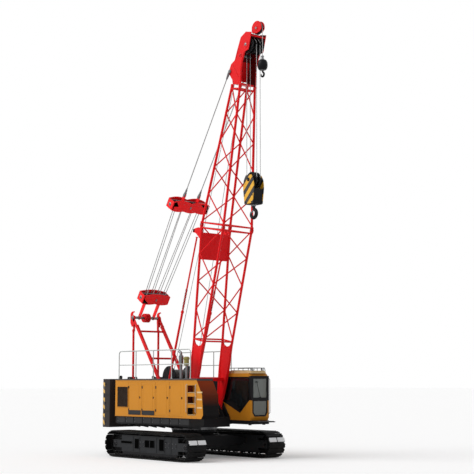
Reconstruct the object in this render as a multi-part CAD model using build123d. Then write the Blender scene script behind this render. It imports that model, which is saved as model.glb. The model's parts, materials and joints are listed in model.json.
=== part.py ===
from build123d import *
import math
import os

# Lattice-boom crawler crane. Millimetres, +X forward, +Y to the driver's left, +Z up.
# The origin is on the ground under the slewing axis.

# --- tracks and carbody ---------------------------------------------------------------
TRACK_LENGTH = 5150
TRACK_HEIGHT = 950
TRACK_GAUGE = 3520
SHOE_WIDTH = 760
SHOE_COUNT = 60
SHOE_PLATE = 50
SHOE_GAP = 16
SHOE_NOTCH = 40
SHOE_SKIN = 12
CHAIN_WIDTH = 230
CHAIN_DEPTH = 75
SEAT_GAP = 0.5
WHEEL_WIDTH = 200
IDLER_AXLE_RADIUS = 55
SPROCKET_LOBES = 15
SPROCKET_WIDTH = 120
LOBE_DEPTH = 45
DRIVE_RADIUS = 210
DRIVE_REACH = 180
CAP_REACH = 25
ROLLER_RADIUS = 105
ROLLER_WIDTH = 190
ROLLER_COUNT = 8
ROLLER_INSET = 180
ROLLER_AXLE = 35
CARRIER_RADIUS = 60
CARRIER_WIDTH = 140
CARRIER_ROOM = 20
CARRIER_X = (-700, 700)
IDLER_DISH = 45
IDLER_RIM = 60
AXLE_CAP_RADIUS = 110
FRAME_PLATE = 80
FRAME_WIDTH = 410
FRAME_LOW = 205
FRAME_TOP = 800
CHANNEL_HEIGHT = 155
WHEEL_ROOM = 50
YOKE_REACH = 130
YOKE_LOW = 340
YOKE_TOP = 615
POCKET_DEPTH = 25
# Outer face pockets of a side frame: middle, width, and the heights between.
FRAME_POCKETS = ((-640, 60, 400, 640), (190, 240, 440, 600), (1020, 60, 400, 640), (-1200, 300, 540, 570))
AXLE_X = 880
AXLE_WIDTH = 380
AXLE_TOP = 800
AXLE_LOW = 430
AXLE_RISE = 70
AXLE_DROP = 120
HUB_HALF = 780
HUB_CORNER = 260
HUB_LIP = 25
TURRET_RADIUS = 700
TURRET_CONE = 120
RING_RADIUS = 790
RING_BORE = 660
RING_LOW = 1000
RING_TOP = 1088

# --- upper frame ----------------------------------------------------------------------
DECK_LOW = 1095
DECK_PLATE = 40
FRAME_REAR = -3320
FRAME_FRONT = 1150
OUTER_WEB = (700, 740)
INNER_WEB = (480, 520)
RACE_CLEARANCE = 6
RACE_WALL = 115
CENTRE_HOLE = 250
CROSSBEAM_TOP = 1440
# Cross beams of the upper frame: the distances between.
CROSSBEAMS = ((FRAME_REAR, FRAME_REAR + 260), (-1300, -1180), (FRAME_FRONT - 170, FRAME_FRONT))
STRUT_POST = 130
POST_RISE = 90
MAIN_DRUM = (-930, 2850)
AUX_DRUM = (-150, 2050)
LUFF_DRUM = (-2200, 1750)
# Each winch: place, barrel radius and flange radius.
WINCHES = ((MAIN_DRUM, 260, 410), (AUX_DRUM, 190, 290), (LUFF_DRUM, 200, 310))
DRUM_SHAFT = 70
FLANGE = 30

# --- houses ---------------------------------------------------------------------------
HOUSE_SIDE = 1440
HOUSE_INNER = 742
HOUSE_REAR = -2940
HOUSE_LOW = 1430
HOUSE_TOP = 2720
HOUSE_WALL = 40
RIGHT_HOUSE_FRONT = 2400
LEFT_HOUSE_FRONT = 480
ROOF_TOP = 2790
SKIRT_LOW = 1200
SKIRT_BASE = 1000
SKIRT_INSET = 50
RIGHT_DECK_FRONT = 1560
ROOF_SLOPE = 350
DOOR_PITCH = 850
DOOR_PILLAR = 30
DOOR_GAP = 3
DOOR_LOW = 1490
DOOR_TOP = 2670
RIGHT_DOOR_START = -2080
RIGHT_DOORS = 4
LEFT_DOOR_START = -2780
LEFT_DOORS = 3
LATCH_DEPTH = 12
LATCH = (70, 80)
LATCH_INSET = 60
INTAKE_X = (-2770, -2140)
INTAKE_Z = (1780, 2490)
SLATS = 9
SLAT_SET = 6
SLAT_HALF = 14
STEP_TOWER_X = (1480, 2040)
STEP_TOWER_INNER = 1180
STEPS = 3
STEP_RISE = 380
STEP_GAP = 140
STEP_WALL = 60
ENGINE_X = (-2700, -1100)
ENGINE_Y = (-1330, -840)
ENGINE_TOP = 2330
RAIL_HEIGHT = 1010
RAIL_RADIUS = 20
RAIL_INSET = 200
RAIL_PITCH = 1000
RIGHT_RAIL_FRONT = 1660

# --- cab ------------------------------------------------------------------------------
CAB_INNER = 760
CAB_OUTER = 1600
CAB_REAR = 500
CAB_FRONT = 2290
CAB_LOW = 1330
CAB_TOP = 2980
CAB_WALL = 50
CAB_DOOR = (1180, 2080)
CAB_DOOR_SPAN = (1420, 2860)
CAB_DECK_DEPTH = 130
CAB_STEP_FRONT = 2630
CAB_STEP_PLATE = 30
CAB_STEP_INSET = 60
# Seat: rear and front, half width, cushion thickness and height, back height and rake.
SEAT_X = (900, 1420)
SEAT_HALF = 250
CUSHION = 140
CUSHION_TOP = 400
BACK_HEIGHT = 650
BACK_DEPTH = 130
BACK_RAKE = 80
PEDESTAL_INSET = 100
CONSOLE_X = (1100, 1620)
CONSOLE_WIDTH = 89
CONSOLE_GAP = 6
CONSOLE_HEIGHT = 560
LEVER_HEIGHT = 200
LEVER_RADIUS = 16
GLASS = 12
GLASS_SET = 15

# --- counterweight and gantry ---------------------------------------------------------
TAIL_REAR = -3900
TAIL_CORNER = 180
CORNER_STEPS = 4
# Heights of the seams between the stacked tail weights.
TAIL_SEAMS = (1560, 2180)
SEAM_WIDTH = 16
SEAM_DEPTH = 20
TAIL_LUG = 40
TAIL_EYE_RISE = 60
TAIL_EYE_RADIUS = 32
TAIL_EYE_Y = 750
GANTRY_HEAD = (-3050, 5110)
LEG_FOOT = (-480, 1550)
STRUT_FOOT_Z = 2780
GANTRY_HALF = 580
GANTRY_SHAFT_RADIUS = 50
GANTRY_SHEAVE_RADIUS = 170
GANTRY_SHEAVE_Y = (-90, -30, 30, 90)
GANTRY_SHEAVE_HALF = 20
LEG_DEPTH = 120
LEG_SPLIT = 420
LEG_HALF_WIDTH = 45
LEG_EYE_RADIUS = 80
HORN_PLATE = 25
EYE_GAP = 3
CROSS_TUBE_RADIUS = 38
CROSS_TUBE_Z = (3550, 4580)
LEG_PIN_RADIUS = 45
STRUT_PIN_RADIUS = 40
RUNNING_GAP = 0.05

# --- boom: places are distances from the foot and distances behind the middle -----------
BOOM_FOOT = (660, 1740)
BOOM_ANGLE = 79.2
FOOT_PIN_RADIUS = 45
FOOT_HALF_DEPTH = 75
SECTION_WIDTH = 1290
SECTION_DEPTH = 1240
BASE_LENGTH = 6500
TOP_LENGTH = 5050
HEAD_WIDTH = 670
HEAD_DEPTH = 440
CHORD_RADIUS = 45
COLLAR_RADIUS = 65
COLLAR_LENGTH = 110
LACING_RADIUS = 23
FRAME_RADIUS = 29
LEG_PLATE_LENGTH = 2450
HEAD_START = BASE_LENGTH + TOP_LENGTH
HEAD_PLATE = (320, 350)
PENDANT_PIN = (HEAD_START + 450, 420)
PENDANT_PIN_RADIUS = 35
MAIN_SHEAVE = (HEAD_START + 1400, -278)
MAIN_SHEAVE_RADIUS = 280
SHEAVE_WIDTH = 60
HEAD_SHAFT_RADIUS = 50
AUX_SHEAVE = (HEAD_START + 2010, -430)
AUX_SHEAVE_RADIUS = 220
JIB_PIN = (HEAD_START + 1010, -60)
JIB_PIN_RADIUS = 30

BACKSTOP_FOOT = (-690, 2600)
BACKSTOP_TOP = (BASE_LENGTH - 474, 829)
BACKSTOP_Y = 640
BACKSTOP_RADII = (42, 32)
BACKSTOP_EYE = 60
END_SET = 75
SQUARE_CUT = 200
LEG_HALF = 40
LEG_NOTCH = 160
CHORD_ROOT = 60
FOOT_BUSH = 110
FOOT_GAP = 5
FOOT_TIE = (1000, 1120)
FOOT_TIE_HALF = 60
JOINT_PLATE = (BASE_LENGTH - 1240, BASE_LENGTH - 280)
JOINT_PLATE_HALF = 8
BASE_BAYS = 4
TOP_BAYS = 5
GUIDE_ROLLER = (HEAD_START + 1050, 185)
GUIDE_RADIUS = 75
HEAD_WEB = 25

# --- rope work ------------------------------------------------------------------------
LOWER_SPREADER = 900
UPPER_SPREADER = 4830
SPREADER_HALF = 250
LOWER_SPREADER_WIDTH = 1200
UPPER_SPREADER_WIDTH = 1650
SPREADER_DEPTH = 380
SPREADER_PLATE = 30
SPREADER_SHAFT = 45
SPREADER_SHEAVE_RADIUS = 170
SPREADER_SHEAVE_HALF = 22
SPREADER_LIP = 80
LINK_Y = 310
LINK_PLATE = 30
LINK_EYE = 90
HUMP_STEPS = 4
LUG_Y = 310
LUG_PLATE = 40
LUG_END = 400
# Luffing falls: y at the lower and at the upper spreader. Each two that follow share a pair of sheaves.
FALL_Y = (
    (-480, -640), (-340, -500), (-200, -340), (-70, -140),
    (70, 140), (200, 340), (340, 500), (480, 640),
)
ROPE_RADIUS = 11
ROPE_SEAT = 1
PENDANT_RADIUS = 18
MAIN_FALL_Y = 80
MAIN_FALL_LENGTH = 4480
AUX_FALL_LENGTH = 1020
BLOCK_HEIGHT = 1160
BLOCK_HALF_WIDTH = 235
CHEEK_PLATE = 25
MAIN_HOOK_SIZE = 205
MAIN_HOOK_HALF = 50
AUX_HOOK_SIZE = 105
AUX_HOOK_HALF = 30
BALL_HEIGHT = 360
BALL_RADIUS = 180
SWIVEL_HEIGHT = 160
SWIVEL_RADIUS = 60
BALL_STEPS = 6

# Flats of the round forms that repeat, and of the pins that never turn.
WHEEL_SIDES = 24
SHEAVE_SIDES = 12
ROLLER_SIDES = 10
FLANGE_SIDES = 16
PIN_SIDES = 8
TUBE_SIDES = 8
BAR_SIDES = 6


# --- shapes ---------------------------------------------------------------------------
def prism(points, axis, low, high):
    """Outline of two coordinates in the plane across an axis, extruded from low to high."""
    place = "xyz".index(axis)

    def at(point):
        full = list(point)
        full.insert(place, low)
        return tuple(full)

    way = [0, 0, 0]
    way[place] = high - low
    face = Face(Wire.make_polygon([at(point) for point in points], close=True))
    return Part() + Solid.extrude(face, Vector(*way))


def block(x, y, z):
    """Box between two values on each axis."""
    return prism([(x[0], y[0]), (x[1], y[0]), (x[1], y[1]), (x[0], y[1])], "z", z[0], z[1])


def rod(start, end, radius, sides=0):
    """Round bar between two points, or a bar with that many flats."""
    start = Vector(*start)
    way = Vector(*end) - start
    plane = Plane(origin=start, z_dir=way)
    if not sides:
        return Part() + Solid.make_cylinder(radius, way.length, plane)
    turns = [2 * math.pi * step / sides for step in range(sides)]
    ring = [plane.from_local_coords(Vector(radius * math.cos(a), radius * math.sin(a), 0)) for a in turns]
    return Part() + Solid.extrude(Face(Wire.make_polygon(ring, close=True)), way)


def ring_points(x, z, radius, sides, low=0, high=360):
    """Points round a centre in the side view, from one angle to another in degrees."""
    turns = [math.radians(low + (high - low) * step / sides) for step in range(sides + 1)]
    points = [(x + radius * math.cos(turn), z + radius * math.sin(turn)) for turn in turns]
    return points[:-1] if high - low == 360 else points


def drum(x, z, radius, low, high, sides=0):
    """Cylinder on an axis across the crane, or a drum with that many flats."""
    if not sides:
        return rod((x, low, z), (x, high, z), radius)
    return prism(ring_points(x, z, radius, sides), "y", low, high)


def disc(radius, low, high, sides):
    """Upright drum on the slewing axis."""
    return prism(ring_points(0, 0, radius, sides), "z", low, high)


def turned(profile, x, sides):
    """Upright form with flats round a vertical axis, from its radius at each height."""
    wires = []
    for radius, z in profile:
        ring = [(px, py, z) for px, py in ring_points(x, 0, radius, sides)]
        wires.append(Wire.make_polygon(ring, close=True))
    return Part() + Solid.make_loft(wires, True)


def loop_band(radius, low, high):
    """Solid of the track's side outline at a radius round both wheels."""
    front = ring_points(WHEEL_X, WHEEL_Z, radius, WHEEL_SIDES // 2, -90, 90)
    rear = ring_points(-WHEEL_X, WHEEL_Z, radius, WHEEL_SIDES // 2, 90, 270)
    return prism(front + rear, "y", low, high)


def fused(shapes):
    """Several shapes that meet, as one."""
    return shapes[0] + shapes[1:]


def mirrored(shape):
    return mirror(shape, about=Plane.XZ)


def pair(shape):
    """The shape and its twin on the other side of the crane."""
    return Compound(children=[solid for half in (shape, mirrored(shape)) for solid in half.solids()])


def group(shapes):
    """Several separate solids as one node."""
    return Compound(children=[solid for shape in shapes for solid in shape.solids()])


def bar(start, end, low, high, depth):
    """Flat or box bar between two points of the crane's side view."""
    dx = end[0] - start[0]
    dz = end[1] - start[1]
    length = math.hypot(dx, dz)
    nx = -dz / length * depth / 2
    nz = dx / length * depth / 2
    outline = [
        (start[0] + nx, start[1] + nz),
        (end[0] + nx, end[1] + nz),
        (end[0] - nx, end[1] - nz),
        (start[0] - nx, start[1] - nz),
    ]
    return prism(outline, "y", low, high)


# --- tracks ---------------------------------------------------------------------------
WHEEL_Z = TRACK_HEIGHT / 2
WHEEL_X = (TRACK_LENGTH - TRACK_HEIGHT) / 2
TRACK_Y = TRACK_GAUGE / 2
CHAIN_INNER = WHEEL_Z - SHOE_PLATE - CHAIN_DEPTH
CHAIN_FLAT = CHAIN_INNER * math.cos(math.pi / WHEEL_SIDES)
FRAME_HALF_LENGTH = WHEEL_X - CHAIN_INNER - WHEEL_ROOM
YOKE_END = WHEEL_X + YOKE_REACH
FRAME_HALF = FRAME_WIDTH / 2
CHANNEL_HALF = FRAME_HALF - FRAME_PLATE


def loop_point(distance, inset):
    """Point of the shoe loop, at a distance round it and a depth under its outside."""
    straight = 2 * WHEEL_X
    arc = math.pi * WHEEL_Z
    radius = WHEEL_Z - inset
    distance = distance % (2 * straight + 2 * arc)
    if distance < straight:
        return (-WHEEL_X + distance, inset)
    distance = distance - straight
    if distance < arc:
        angle = distance / WHEEL_Z - math.pi / 2
        return (WHEEL_X + radius * math.cos(angle), WHEEL_Z + radius * math.sin(angle))
    distance = distance - arc
    if distance < straight:
        return (WHEEL_X - distance, TRACK_HEIGHT - inset)
    angle = (distance - straight) / WHEEL_Z + math.pi / 2
    return (-WHEEL_X + radius * math.cos(angle), WHEEL_Z + radius * math.sin(angle))


def track(side):
    """One endless track: shoe plates on a chain, with a notch between shoes."""
    y = side * TRACK_Y
    pitch = (4 * WHEEL_X + 2 * math.pi * WHEEL_Z) / SHOE_COUNT
    outline = []
    for shoe in range(SHOE_COUNT):
        start = shoe * pitch + SHOE_GAP / 2
        end = (shoe + 1) * pitch - SHOE_GAP / 2
        outline += [loop_point(start, 0), loop_point(end, 0), loop_point(end + SHOE_GAP / 2, SHOE_NOTCH)]
    low, high = y - SHOE_WIDTH / 2, y + SHOE_WIDTH / 2
    shoes = prism(outline, "y", low, high) - loop_band(WHEEL_Z - SHOE_PLATE - SHOE_SKIN, low, high)
    low, high = y - CHAIN_WIDTH / 2, y + CHAIN_WIDTH / 2
    chain = loop_band(WHEEL_Z - SHOE_PLATE, low, high) - loop_band(CHAIN_INNER, low, high)
    return shoes + chain


def track_frame(side):
    """Side frame: box beam with a roller channel below, carrier slots on top and yokes at both ends."""
    y = side * TRACK_Y
    low, high = y - FRAME_HALF, y + FRAME_HALF
    span = (-FRAME_HALF_LENGTH, FRAME_HALF_LENGTH)
    channel = (y - CHANNEL_HALF, y + CHANNEL_HALF)
    beam = block(span, (low, high), (FRAME_LOW, FRAME_TOP))
    beam = beam - block(span, channel, (FRAME_LOW, FRAME_LOW + CHANNEL_HEIGHT))
    for plate in ((low, low + FRAME_PLATE), (high - FRAME_PLATE, high)):
        beam = beam + block((-YOKE_END, YOKE_END), plate, (YOKE_LOW, YOKE_TOP))
    beam = beam - drum(WHEEL_X, WHEEL_Z, IDLER_AXLE_RADIUS, low, high, PIN_SIDES)
    beam = beam - drum(-WHEEL_X, WHEEL_Z, IDLER_AXLE_RADIUS, low, high, PIN_SIDES)
    inner = y - side * FRAME_HALF
    inner_plate = sorted((inner, inner + side * FRAME_PLATE))
    beam = beam - drum(-WHEEL_X, WHEEL_Z, DRIVE_RADIUS, *inner_plate, SHEAVE_SIDES)
    outer = y + side * FRAME_HALF
    depth = sorted((outer, outer - side * POCKET_DEPTH))
    for x, width, bottom, top in FRAME_POCKETS:
        beam = beam - block((x - width / 2, x + width / 2), depth, (bottom, top))
    room = CARRIER_RADIUS + CARRIER_ROOM
    slot_low = WHEEL_Z + CHAIN_INNER - CARRIER_RADIUS - room
    for x in CARRIER_X:
        slot = (y - CARRIER_WIDTH / 2, y + CARRIER_WIDTH / 2)
        beam = beam - block((x - room, x + room), slot, (slot_low, FRAME_TOP))
    return beam


def idler(side):
    """Front guide wheel with a dished web, on its axle."""
    y = side * TRACK_Y
    radius = CHAIN_INNER - SEAT_GAP
    half = WHEEL_WIDTH / 2
    wheel = drum(WHEEL_X, WHEEL_Z, radius, y - half, y + half, WHEEL_SIDES)
    edge = sorted((y + side * half, y + side * (half - IDLER_DISH)))
    dish = drum(WHEEL_X, WHEEL_Z, radius - IDLER_RIM, *edge, SHEAVE_SIDES)
    wheel = wheel - (dish - drum(WHEEL_X, WHEEL_Z, 2 * IDLER_AXLE_RADIUS, *edge, PIN_SIDES))
    reach = FRAME_HALF + CAP_REACH
    axle = drum(WHEEL_X, WHEEL_Z, IDLER_AXLE_RADIUS, y - reach, y + reach, PIN_SIDES)
    cap = sorted((y + side * FRAME_HALF, y + side * reach))
    return wheel + axle + drum(WHEEL_X, WHEEL_Z, AXLE_CAP_RADIUS, *cap, SHEAVE_SIDES)


def sprocket(side):
    """Rear drive wheel with its lobes, and the drive housing on the inner side."""
    y = side * TRACK_Y
    tip = CHAIN_FLAT - SEAT_GAP
    pitch = 2 * math.pi / SPROCKET_LOBES
    outline = []
    for lobe in range(SPROCKET_LOBES):
        for share, radius in ((-0.2, tip), (0.2, tip), (0.36, tip - LOBE_DEPTH), (0.64, tip - LOBE_DEPTH)):
            turn = (lobe + share) * pitch
            outline.append((-WHEEL_X + radius * math.cos(turn), WHEEL_Z + radius * math.sin(turn)))
    wheel = prism(outline, "y", y - SPROCKET_WIDTH / 2, y + SPROCKET_WIDTH / 2)
    inner = sorted((y, y - side * (FRAME_HALF + DRIVE_REACH)))
    housing = drum(-WHEEL_X, WHEEL_Z, DRIVE_RADIUS, *inner, SHEAVE_SIDES)
    outer = sorted((y, y + side * (FRAME_HALF + CAP_REACH)))
    axle = drum(-WHEEL_X, WHEEL_Z, IDLER_AXLE_RADIUS, *outer, PIN_SIDES)
    cap = sorted((y + side * FRAME_HALF, y + side * (FRAME_HALF + CAP_REACH)))
    return wheel + housing + axle + drum(-WHEEL_X, WHEEL_Z, AXLE_CAP_RADIUS, *cap, SHEAVE_SIDES)


def rollers(side):
    """Lower rollers in the channel and carrier rollers on top of one side frame."""
    y = side * TRACK_Y
    bottom = WHEEL_Z - CHAIN_INNER
    reach = FRAME_HALF_LENGTH - ROLLER_INSET
    made = []
    for index in range(ROLLER_COUNT):
        x = -reach + 2 * reach * index / (ROLLER_COUNT - 1)
        z = bottom + ROLLER_RADIUS + SEAT_GAP
        wheel = drum(x, z, ROLLER_RADIUS, y - ROLLER_WIDTH / 2, y + ROLLER_WIDTH / 2, ROLLER_SIDES)
        seat = ((x - ROLLER_AXLE, x + ROLLER_AXLE), (y - CHANNEL_HALF, y + CHANNEL_HALF))
        made.append(wheel + block(*seat, (z - ROLLER_AXLE, z + ROLLER_AXLE)))
    for x in CARRIER_X:
        z = TRACK_HEIGHT - bottom - CARRIER_RADIUS - SEAT_GAP
        made.append(drum(x, z, CARRIER_RADIUS, y - CARRIER_WIDTH / 2, y + CARRIER_WIDTH / 2, ROLLER_SIDES))
    return made


def carbody():
    """Centre body: an eight-sided hub with two cross axles and the turret under the slewing ring."""
    edge = HUB_HALF
    flat = HUB_HALF - HUB_CORNER
    outline = [(edge, flat), (flat, edge), (-flat, edge), (-edge, flat)]
    outline += [(-x, -y) for x, y in outline]
    body = prism(outline, "z", AXLE_LOW - HUB_LIP, AXLE_TOP + HUB_LIP)
    shoulder = AXLE_TOP + TURRET_CONE
    turret = [(TURRET_RADIUS, AXLE_TOP), (RING_RADIUS, shoulder), (RING_RADIUS, RING_LOW)]
    body = body + turned(turret, 0, WHEEL_SIDES)
    reach = TRACK_Y - FRAME_HALF
    half = [(HUB_HALF, AXLE_LOW), (reach, AXLE_LOW + AXLE_RISE)]
    half += [(reach, AXLE_TOP - AXLE_DROP), (HUB_HALF, AXLE_TOP)]
    beam = half + [(-y, z) for y, z in reversed(half)]
    for x in (-AXLE_X, AXLE_X):
        body = body + prism(beam, "x", x - AXLE_WIDTH / 2, x + AXLE_WIDTH / 2)
    return body


def slew_ring():
    """Slewing ring; the flats of its bore stay outside the bore's size."""
    bore = RING_BORE / math.cos(math.pi / WHEEL_SIDES)
    return disc(RING_RADIUS, RING_LOW, RING_TOP, WHEEL_SIDES) - disc(bore, RING_LOW, RING_TOP, WHEEL_SIDES)


# --- upper frame ----------------------------------------------------------------------
def slew_frame():
    """Turntable plate with twin webs each side that hold the boom foot, winches and gantry."""
    top = DECK_LOW + DECK_PLATE
    base = block((FRAME_REAR, FRAME_FRONT), (-OUTER_WEB[1], OUTER_WEB[1]), (DECK_LOW, top))
    outside = RING_BORE - RACE_CLEARANCE
    race = disc(outside, RING_LOW + 2 * RACE_CLEARANCE, DECK_LOW, WHEEL_SIDES)
    race = race - disc(outside - RACE_WALL, RING_LOW + 2 * RACE_CLEARANCE, DECK_LOW, WHEEL_SIDES)
    frame = base + race - disc(CENTRE_HOLE, DECK_LOW, top, SHEAVE_SIDES)
    foot_x, foot_z = BOOM_FOOT
    strut_top = STRUT_FOOT_Z + POST_RISE
    strut_x = (GANTRY_HEAD[0] - STRUT_POST, GANTRY_HEAD[0] + STRUT_POST)
    front = [
        (foot_x - 200, foot_z + 190), (foot_x + 120, foot_z + 190), (foot_x + 220, foot_z + 60),
        (FRAME_FRONT, CROSSBEAM_TOP), (FRAME_FRONT, top),
    ]
    outer = [
        (FRAME_REAR, top), (FRAME_REAR, 2300), (strut_x[0], strut_top), (strut_x[1], strut_top),
        (-2700, 2100), (-1500, 1900), (-1100, 2100), (-860, 2700), (-500, 2700), (-300, 2000),
    ]
    inner = [
        (FRAME_REAR, top), (FRAME_REAR, 2000), (strut_x[0], strut_top), (strut_x[1], strut_top),
        (-2600, 1950), (-1800, 1950), (-1350, 1900), (MAIN_DRUM[0] - 170, MAIN_DRUM[1] + 110),
        (MAIN_DRUM[0] + 170, MAIN_DRUM[1] + 110), (-560, 2250), (100, 2250),
    ]
    for side in (-1, 1):
        frame = frame + prism(outer + front, "y", *sorted((side * OUTER_WEB[0], side * OUTER_WEB[1])))
        frame = frame + prism(inner + front, "y", *sorted((side * INNER_WEB[0], side * INNER_WEB[1])))
    for x in CROSSBEAMS:
        frame = frame + block(x, (-OUTER_WEB[0], OUTER_WEB[0]), (top, CROSSBEAM_TOP))
    width = OUTER_WEB[1]
    frame = frame - drum(*BOOM_FOOT, FOOT_PIN_RADIUS, -width, width, PIN_SIDES)
    frame = frame - drum(*LEG_FOOT, LEG_PIN_RADIUS, -width, width, PIN_SIDES)
    return frame - drum(GANTRY_HEAD[0], STRUT_FOOT_Z, STRUT_PIN_RADIUS, -width, width, PIN_SIDES)


def foot_pins():
    """Boom foot pins, held in the twin webs."""
    return pair(drum(*BOOM_FOOT, FOOT_PIN_RADIUS, INNER_WEB[0], OUTER_WEB[1], PIN_SIDES))


def winch(place, barrel, flange):
    """Rope drum with two flanges, on a shaft between the inner webs."""
    half = INNER_WEB[0] - FLANGE
    made = drum(*place, barrel, -half, half, SHEAVE_SIDES)
    made = made + drum(*place, DRUM_SHAFT, -INNER_WEB[0], INNER_WEB[0], PIN_SIDES)
    for face in (-half, half - FLANGE):
        made = made + drum(*place, flange, face, face + FLANGE, FLANGE_SIDES)
    return made


def winch_drums():
    return group([winch(*row) for row in WINCHES])


def side_decks():
    """Outrigger decks each side of the frame, which carry the houses over the tracks."""
    made = []
    for side, front in ((-1, RIGHT_DECK_FRONT), (1, LEFT_HOUSE_FRONT)):
        outside = HOUSE_SIDE - HOUSE_WALL
        across = sorted((side * OUTER_WEB[1], side * outside))
        deck = block((HOUSE_REAR, front), across, (SKIRT_LOW, HOUSE_LOW))
        skirt = sorted((side * (OUTER_WEB[1] + SKIRT_INSET), side * (outside - SKIRT_INSET)))
        made.append(deck + block((HOUSE_REAR, front - SKIRT_INSET), skirt, (SKIRT_BASE, SKIRT_LOW)))
    return group(made)


def counterweight():
    """Cast tail weight with rounded rear corners."""
    edge = HOUSE_SIDE - TAIL_CORNER
    left = ring_points(TAIL_REAR + TAIL_CORNER, edge, TAIL_CORNER, CORNER_STEPS, 90, 180)
    right = ring_points(TAIL_REAR + TAIL_CORNER, -edge, TAIL_CORNER, CORNER_STEPS, 180, 270)
    outline = [(FRAME_REAR, HOUSE_SIDE)] + left + right + [(FRAME_REAR, -HOUSE_SIDE)]
    body = prism(outline, "z", SKIRT_BASE, ROOF_TOP)
    for low in TAIL_SEAMS:
        band = prism(outline, "z", low, low + SEAM_WIDTH)
        side = HOUSE_SIDE - SEAM_DEPTH
        core = block((TAIL_REAR + SEAM_DEPTH, FRAME_REAR), (-side, side), (low, low + SEAM_WIDTH))
        body = body - (band - core)
    eye = ((TAIL_REAR + FRAME_REAR) / 2, ROOF_TOP + TAIL_EYE_RISE)
    for side in (-1, 1):
        span = (side * TAIL_EYE_Y - TAIL_LUG / 2, side * TAIL_EYE_Y + TAIL_LUG / 2)
        ring = 2 * TAIL_EYE_RADIUS
        lug = block((eye[0] - ring, eye[0] + ring), span, (ROOF_TOP, eye[1]))
        lug = lug + drum(*eye, ring, *span, SHEAVE_SIDES)
        body = body + lug - drum(*eye, TAIL_EYE_RADIUS, *span)
    return body


# --- houses ---------------------------------------------------------------------------
RIGHT_ROOF_FRONT = RIGHT_HOUSE_FRONT - ROOF_SLOPE
RIGHT_PROFILE = [
    (HOUSE_REAR, HOUSE_LOW), (HOUSE_REAR, HOUSE_TOP), (RIGHT_ROOF_FRONT, HOUSE_TOP),
    (RIGHT_HOUSE_FRONT - 60, 2240), (RIGHT_HOUSE_FRONT, 1560), (RIGHT_HOUSE_FRONT - 100, HOUSE_LOW),
]
LEFT_PROFILE = [
    (HOUSE_REAR, HOUSE_LOW), (HOUSE_REAR, HOUSE_TOP),
    (LEFT_HOUSE_FRONT, HOUSE_TOP), (LEFT_HOUSE_FRONT, HOUSE_LOW),
]


def inset_outline(points, amount):
    """The same convex outline, moved inwards."""
    face = Face(Wire.make_polygon([(x, 0, z) for x, z in points], close=True))
    wire = face.outer_wire().offset_2d(-amount, kind=Kind.INTERSECTION)
    return Face(wire)


def shell(points, wall, low, high):
    """Hollow housing with the given side profile and wall."""
    outside = prism(points, "y", low, high)
    inner = Solid.extrude(inset_outline(points, wall), Vector(0, high - low - 2 * wall, 0))
    lowest = inner.bounding_box().min.Y
    return outside - Pos(0, low + wall - lowest, 0) * (Part() + inner)


def door_span(start, index):
    low = start + index * DOOR_PITCH
    return (low, low + DOOR_PITCH - DOOR_PILLAR)


def outer_wall(side):
    return sorted((side * HOUSE_SIDE, side * (HOUSE_SIDE - HOUSE_WALL)))


def house_right():
    """Right-hand machinery house with a louvred intake, door openings and a step tower."""
    body = shell(RIGHT_PROFILE, HOUSE_WALL, -HOUSE_SIDE, -HOUSE_INNER)
    for index in range(RIGHT_DOORS):
        body = body - block(door_span(RIGHT_DOOR_START, index), outer_wall(-1), (DOOR_LOW, DOOR_TOP))
    body = body - block(INTAKE_X, outer_wall(-1), INTAKE_Z)
    rise = (INTAKE_Z[1] - INTAKE_Z[0]) / SLATS
    front, back = -HOUSE_SIDE + SLAT_SET, -HOUSE_SIDE + HOUSE_WALL - SLAT_SET
    for index in range(SLATS):
        z = INTAKE_Z[0] + (index + 0.5) * rise
        slat = [(front, z - SLAT_HALF), (back, z), (back, z + 2 * SLAT_HALF), (front, z + SLAT_HALF)]
        body = body + prism(slat, "x", *INTAKE_X)
    inside = (-HOUSE_SIDE + HOUSE_WALL, -STEP_TOWER_INNER)
    body = body + block(STEP_TOWER_X, inside, (HOUSE_LOW + HOUSE_WALL, DOOR_TOP - STEP_WALL))
    for step in range(STEPS):
        z = DOOR_LOW + STEP_WALL + step * STEP_RISE
        niche = (STEP_TOWER_X[0] + STEP_WALL, STEP_TOWER_X[1] - STEP_WALL)
        depth = (-HOUSE_SIDE, -STEP_TOWER_INNER - HOUSE_WALL)
        body = body - block(niche, depth, (z, z + STEP_RISE - STEP_GAP))
    return body


def house_left():
    body = shell(LEFT_PROFILE, HOUSE_WALL, HOUSE_INNER, HOUSE_SIDE)
    for index in range(LEFT_DOORS):
        body = body - block(door_span(LEFT_DOOR_START, index), outer_wall(1), (DOOR_LOW, DOOR_TOP))
    return body


def service_door(start, index, side):
    """Flat door panel as thick as the house wall, with a recessed latch."""
    low, high = door_span(start, index)
    wall = outer_wall(side)
    door = block((low + DOOR_GAP, high - DOOR_GAP), wall, (DOOR_LOW + DOOR_GAP, DOOR_TOP - DOOR_GAP))
    face = sorted((side * HOUSE_SIDE, side * (HOUSE_SIDE - LATCH_DEPTH)))
    latch_x = high - LATCH_INSET
    latch_z = (DOOR_LOW + DOOR_TOP) / 2
    return door - block((latch_x - LATCH[0], latch_x), face, (latch_z, latch_z + LATCH[1]))


def roof_plates():
    """Dark walking plates on top of both houses."""
    made = []
    for side, front in ((-1, RIGHT_ROOF_FRONT), (1, LEFT_HOUSE_FRONT)):
        span = sorted((side * HOUSE_INNER, side * HOUSE_SIDE))
        made.append(block((HOUSE_REAR, front), span, (HOUSE_TOP, ROOF_TOP)))
    return group(made)


def engine_block():
    """Engine and pumps, as one closed mass on the house floor."""
    return block(ENGINE_X, ENGINE_Y, (HOUSE_LOW + HOUSE_WALL, ENGINE_TOP))


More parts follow.
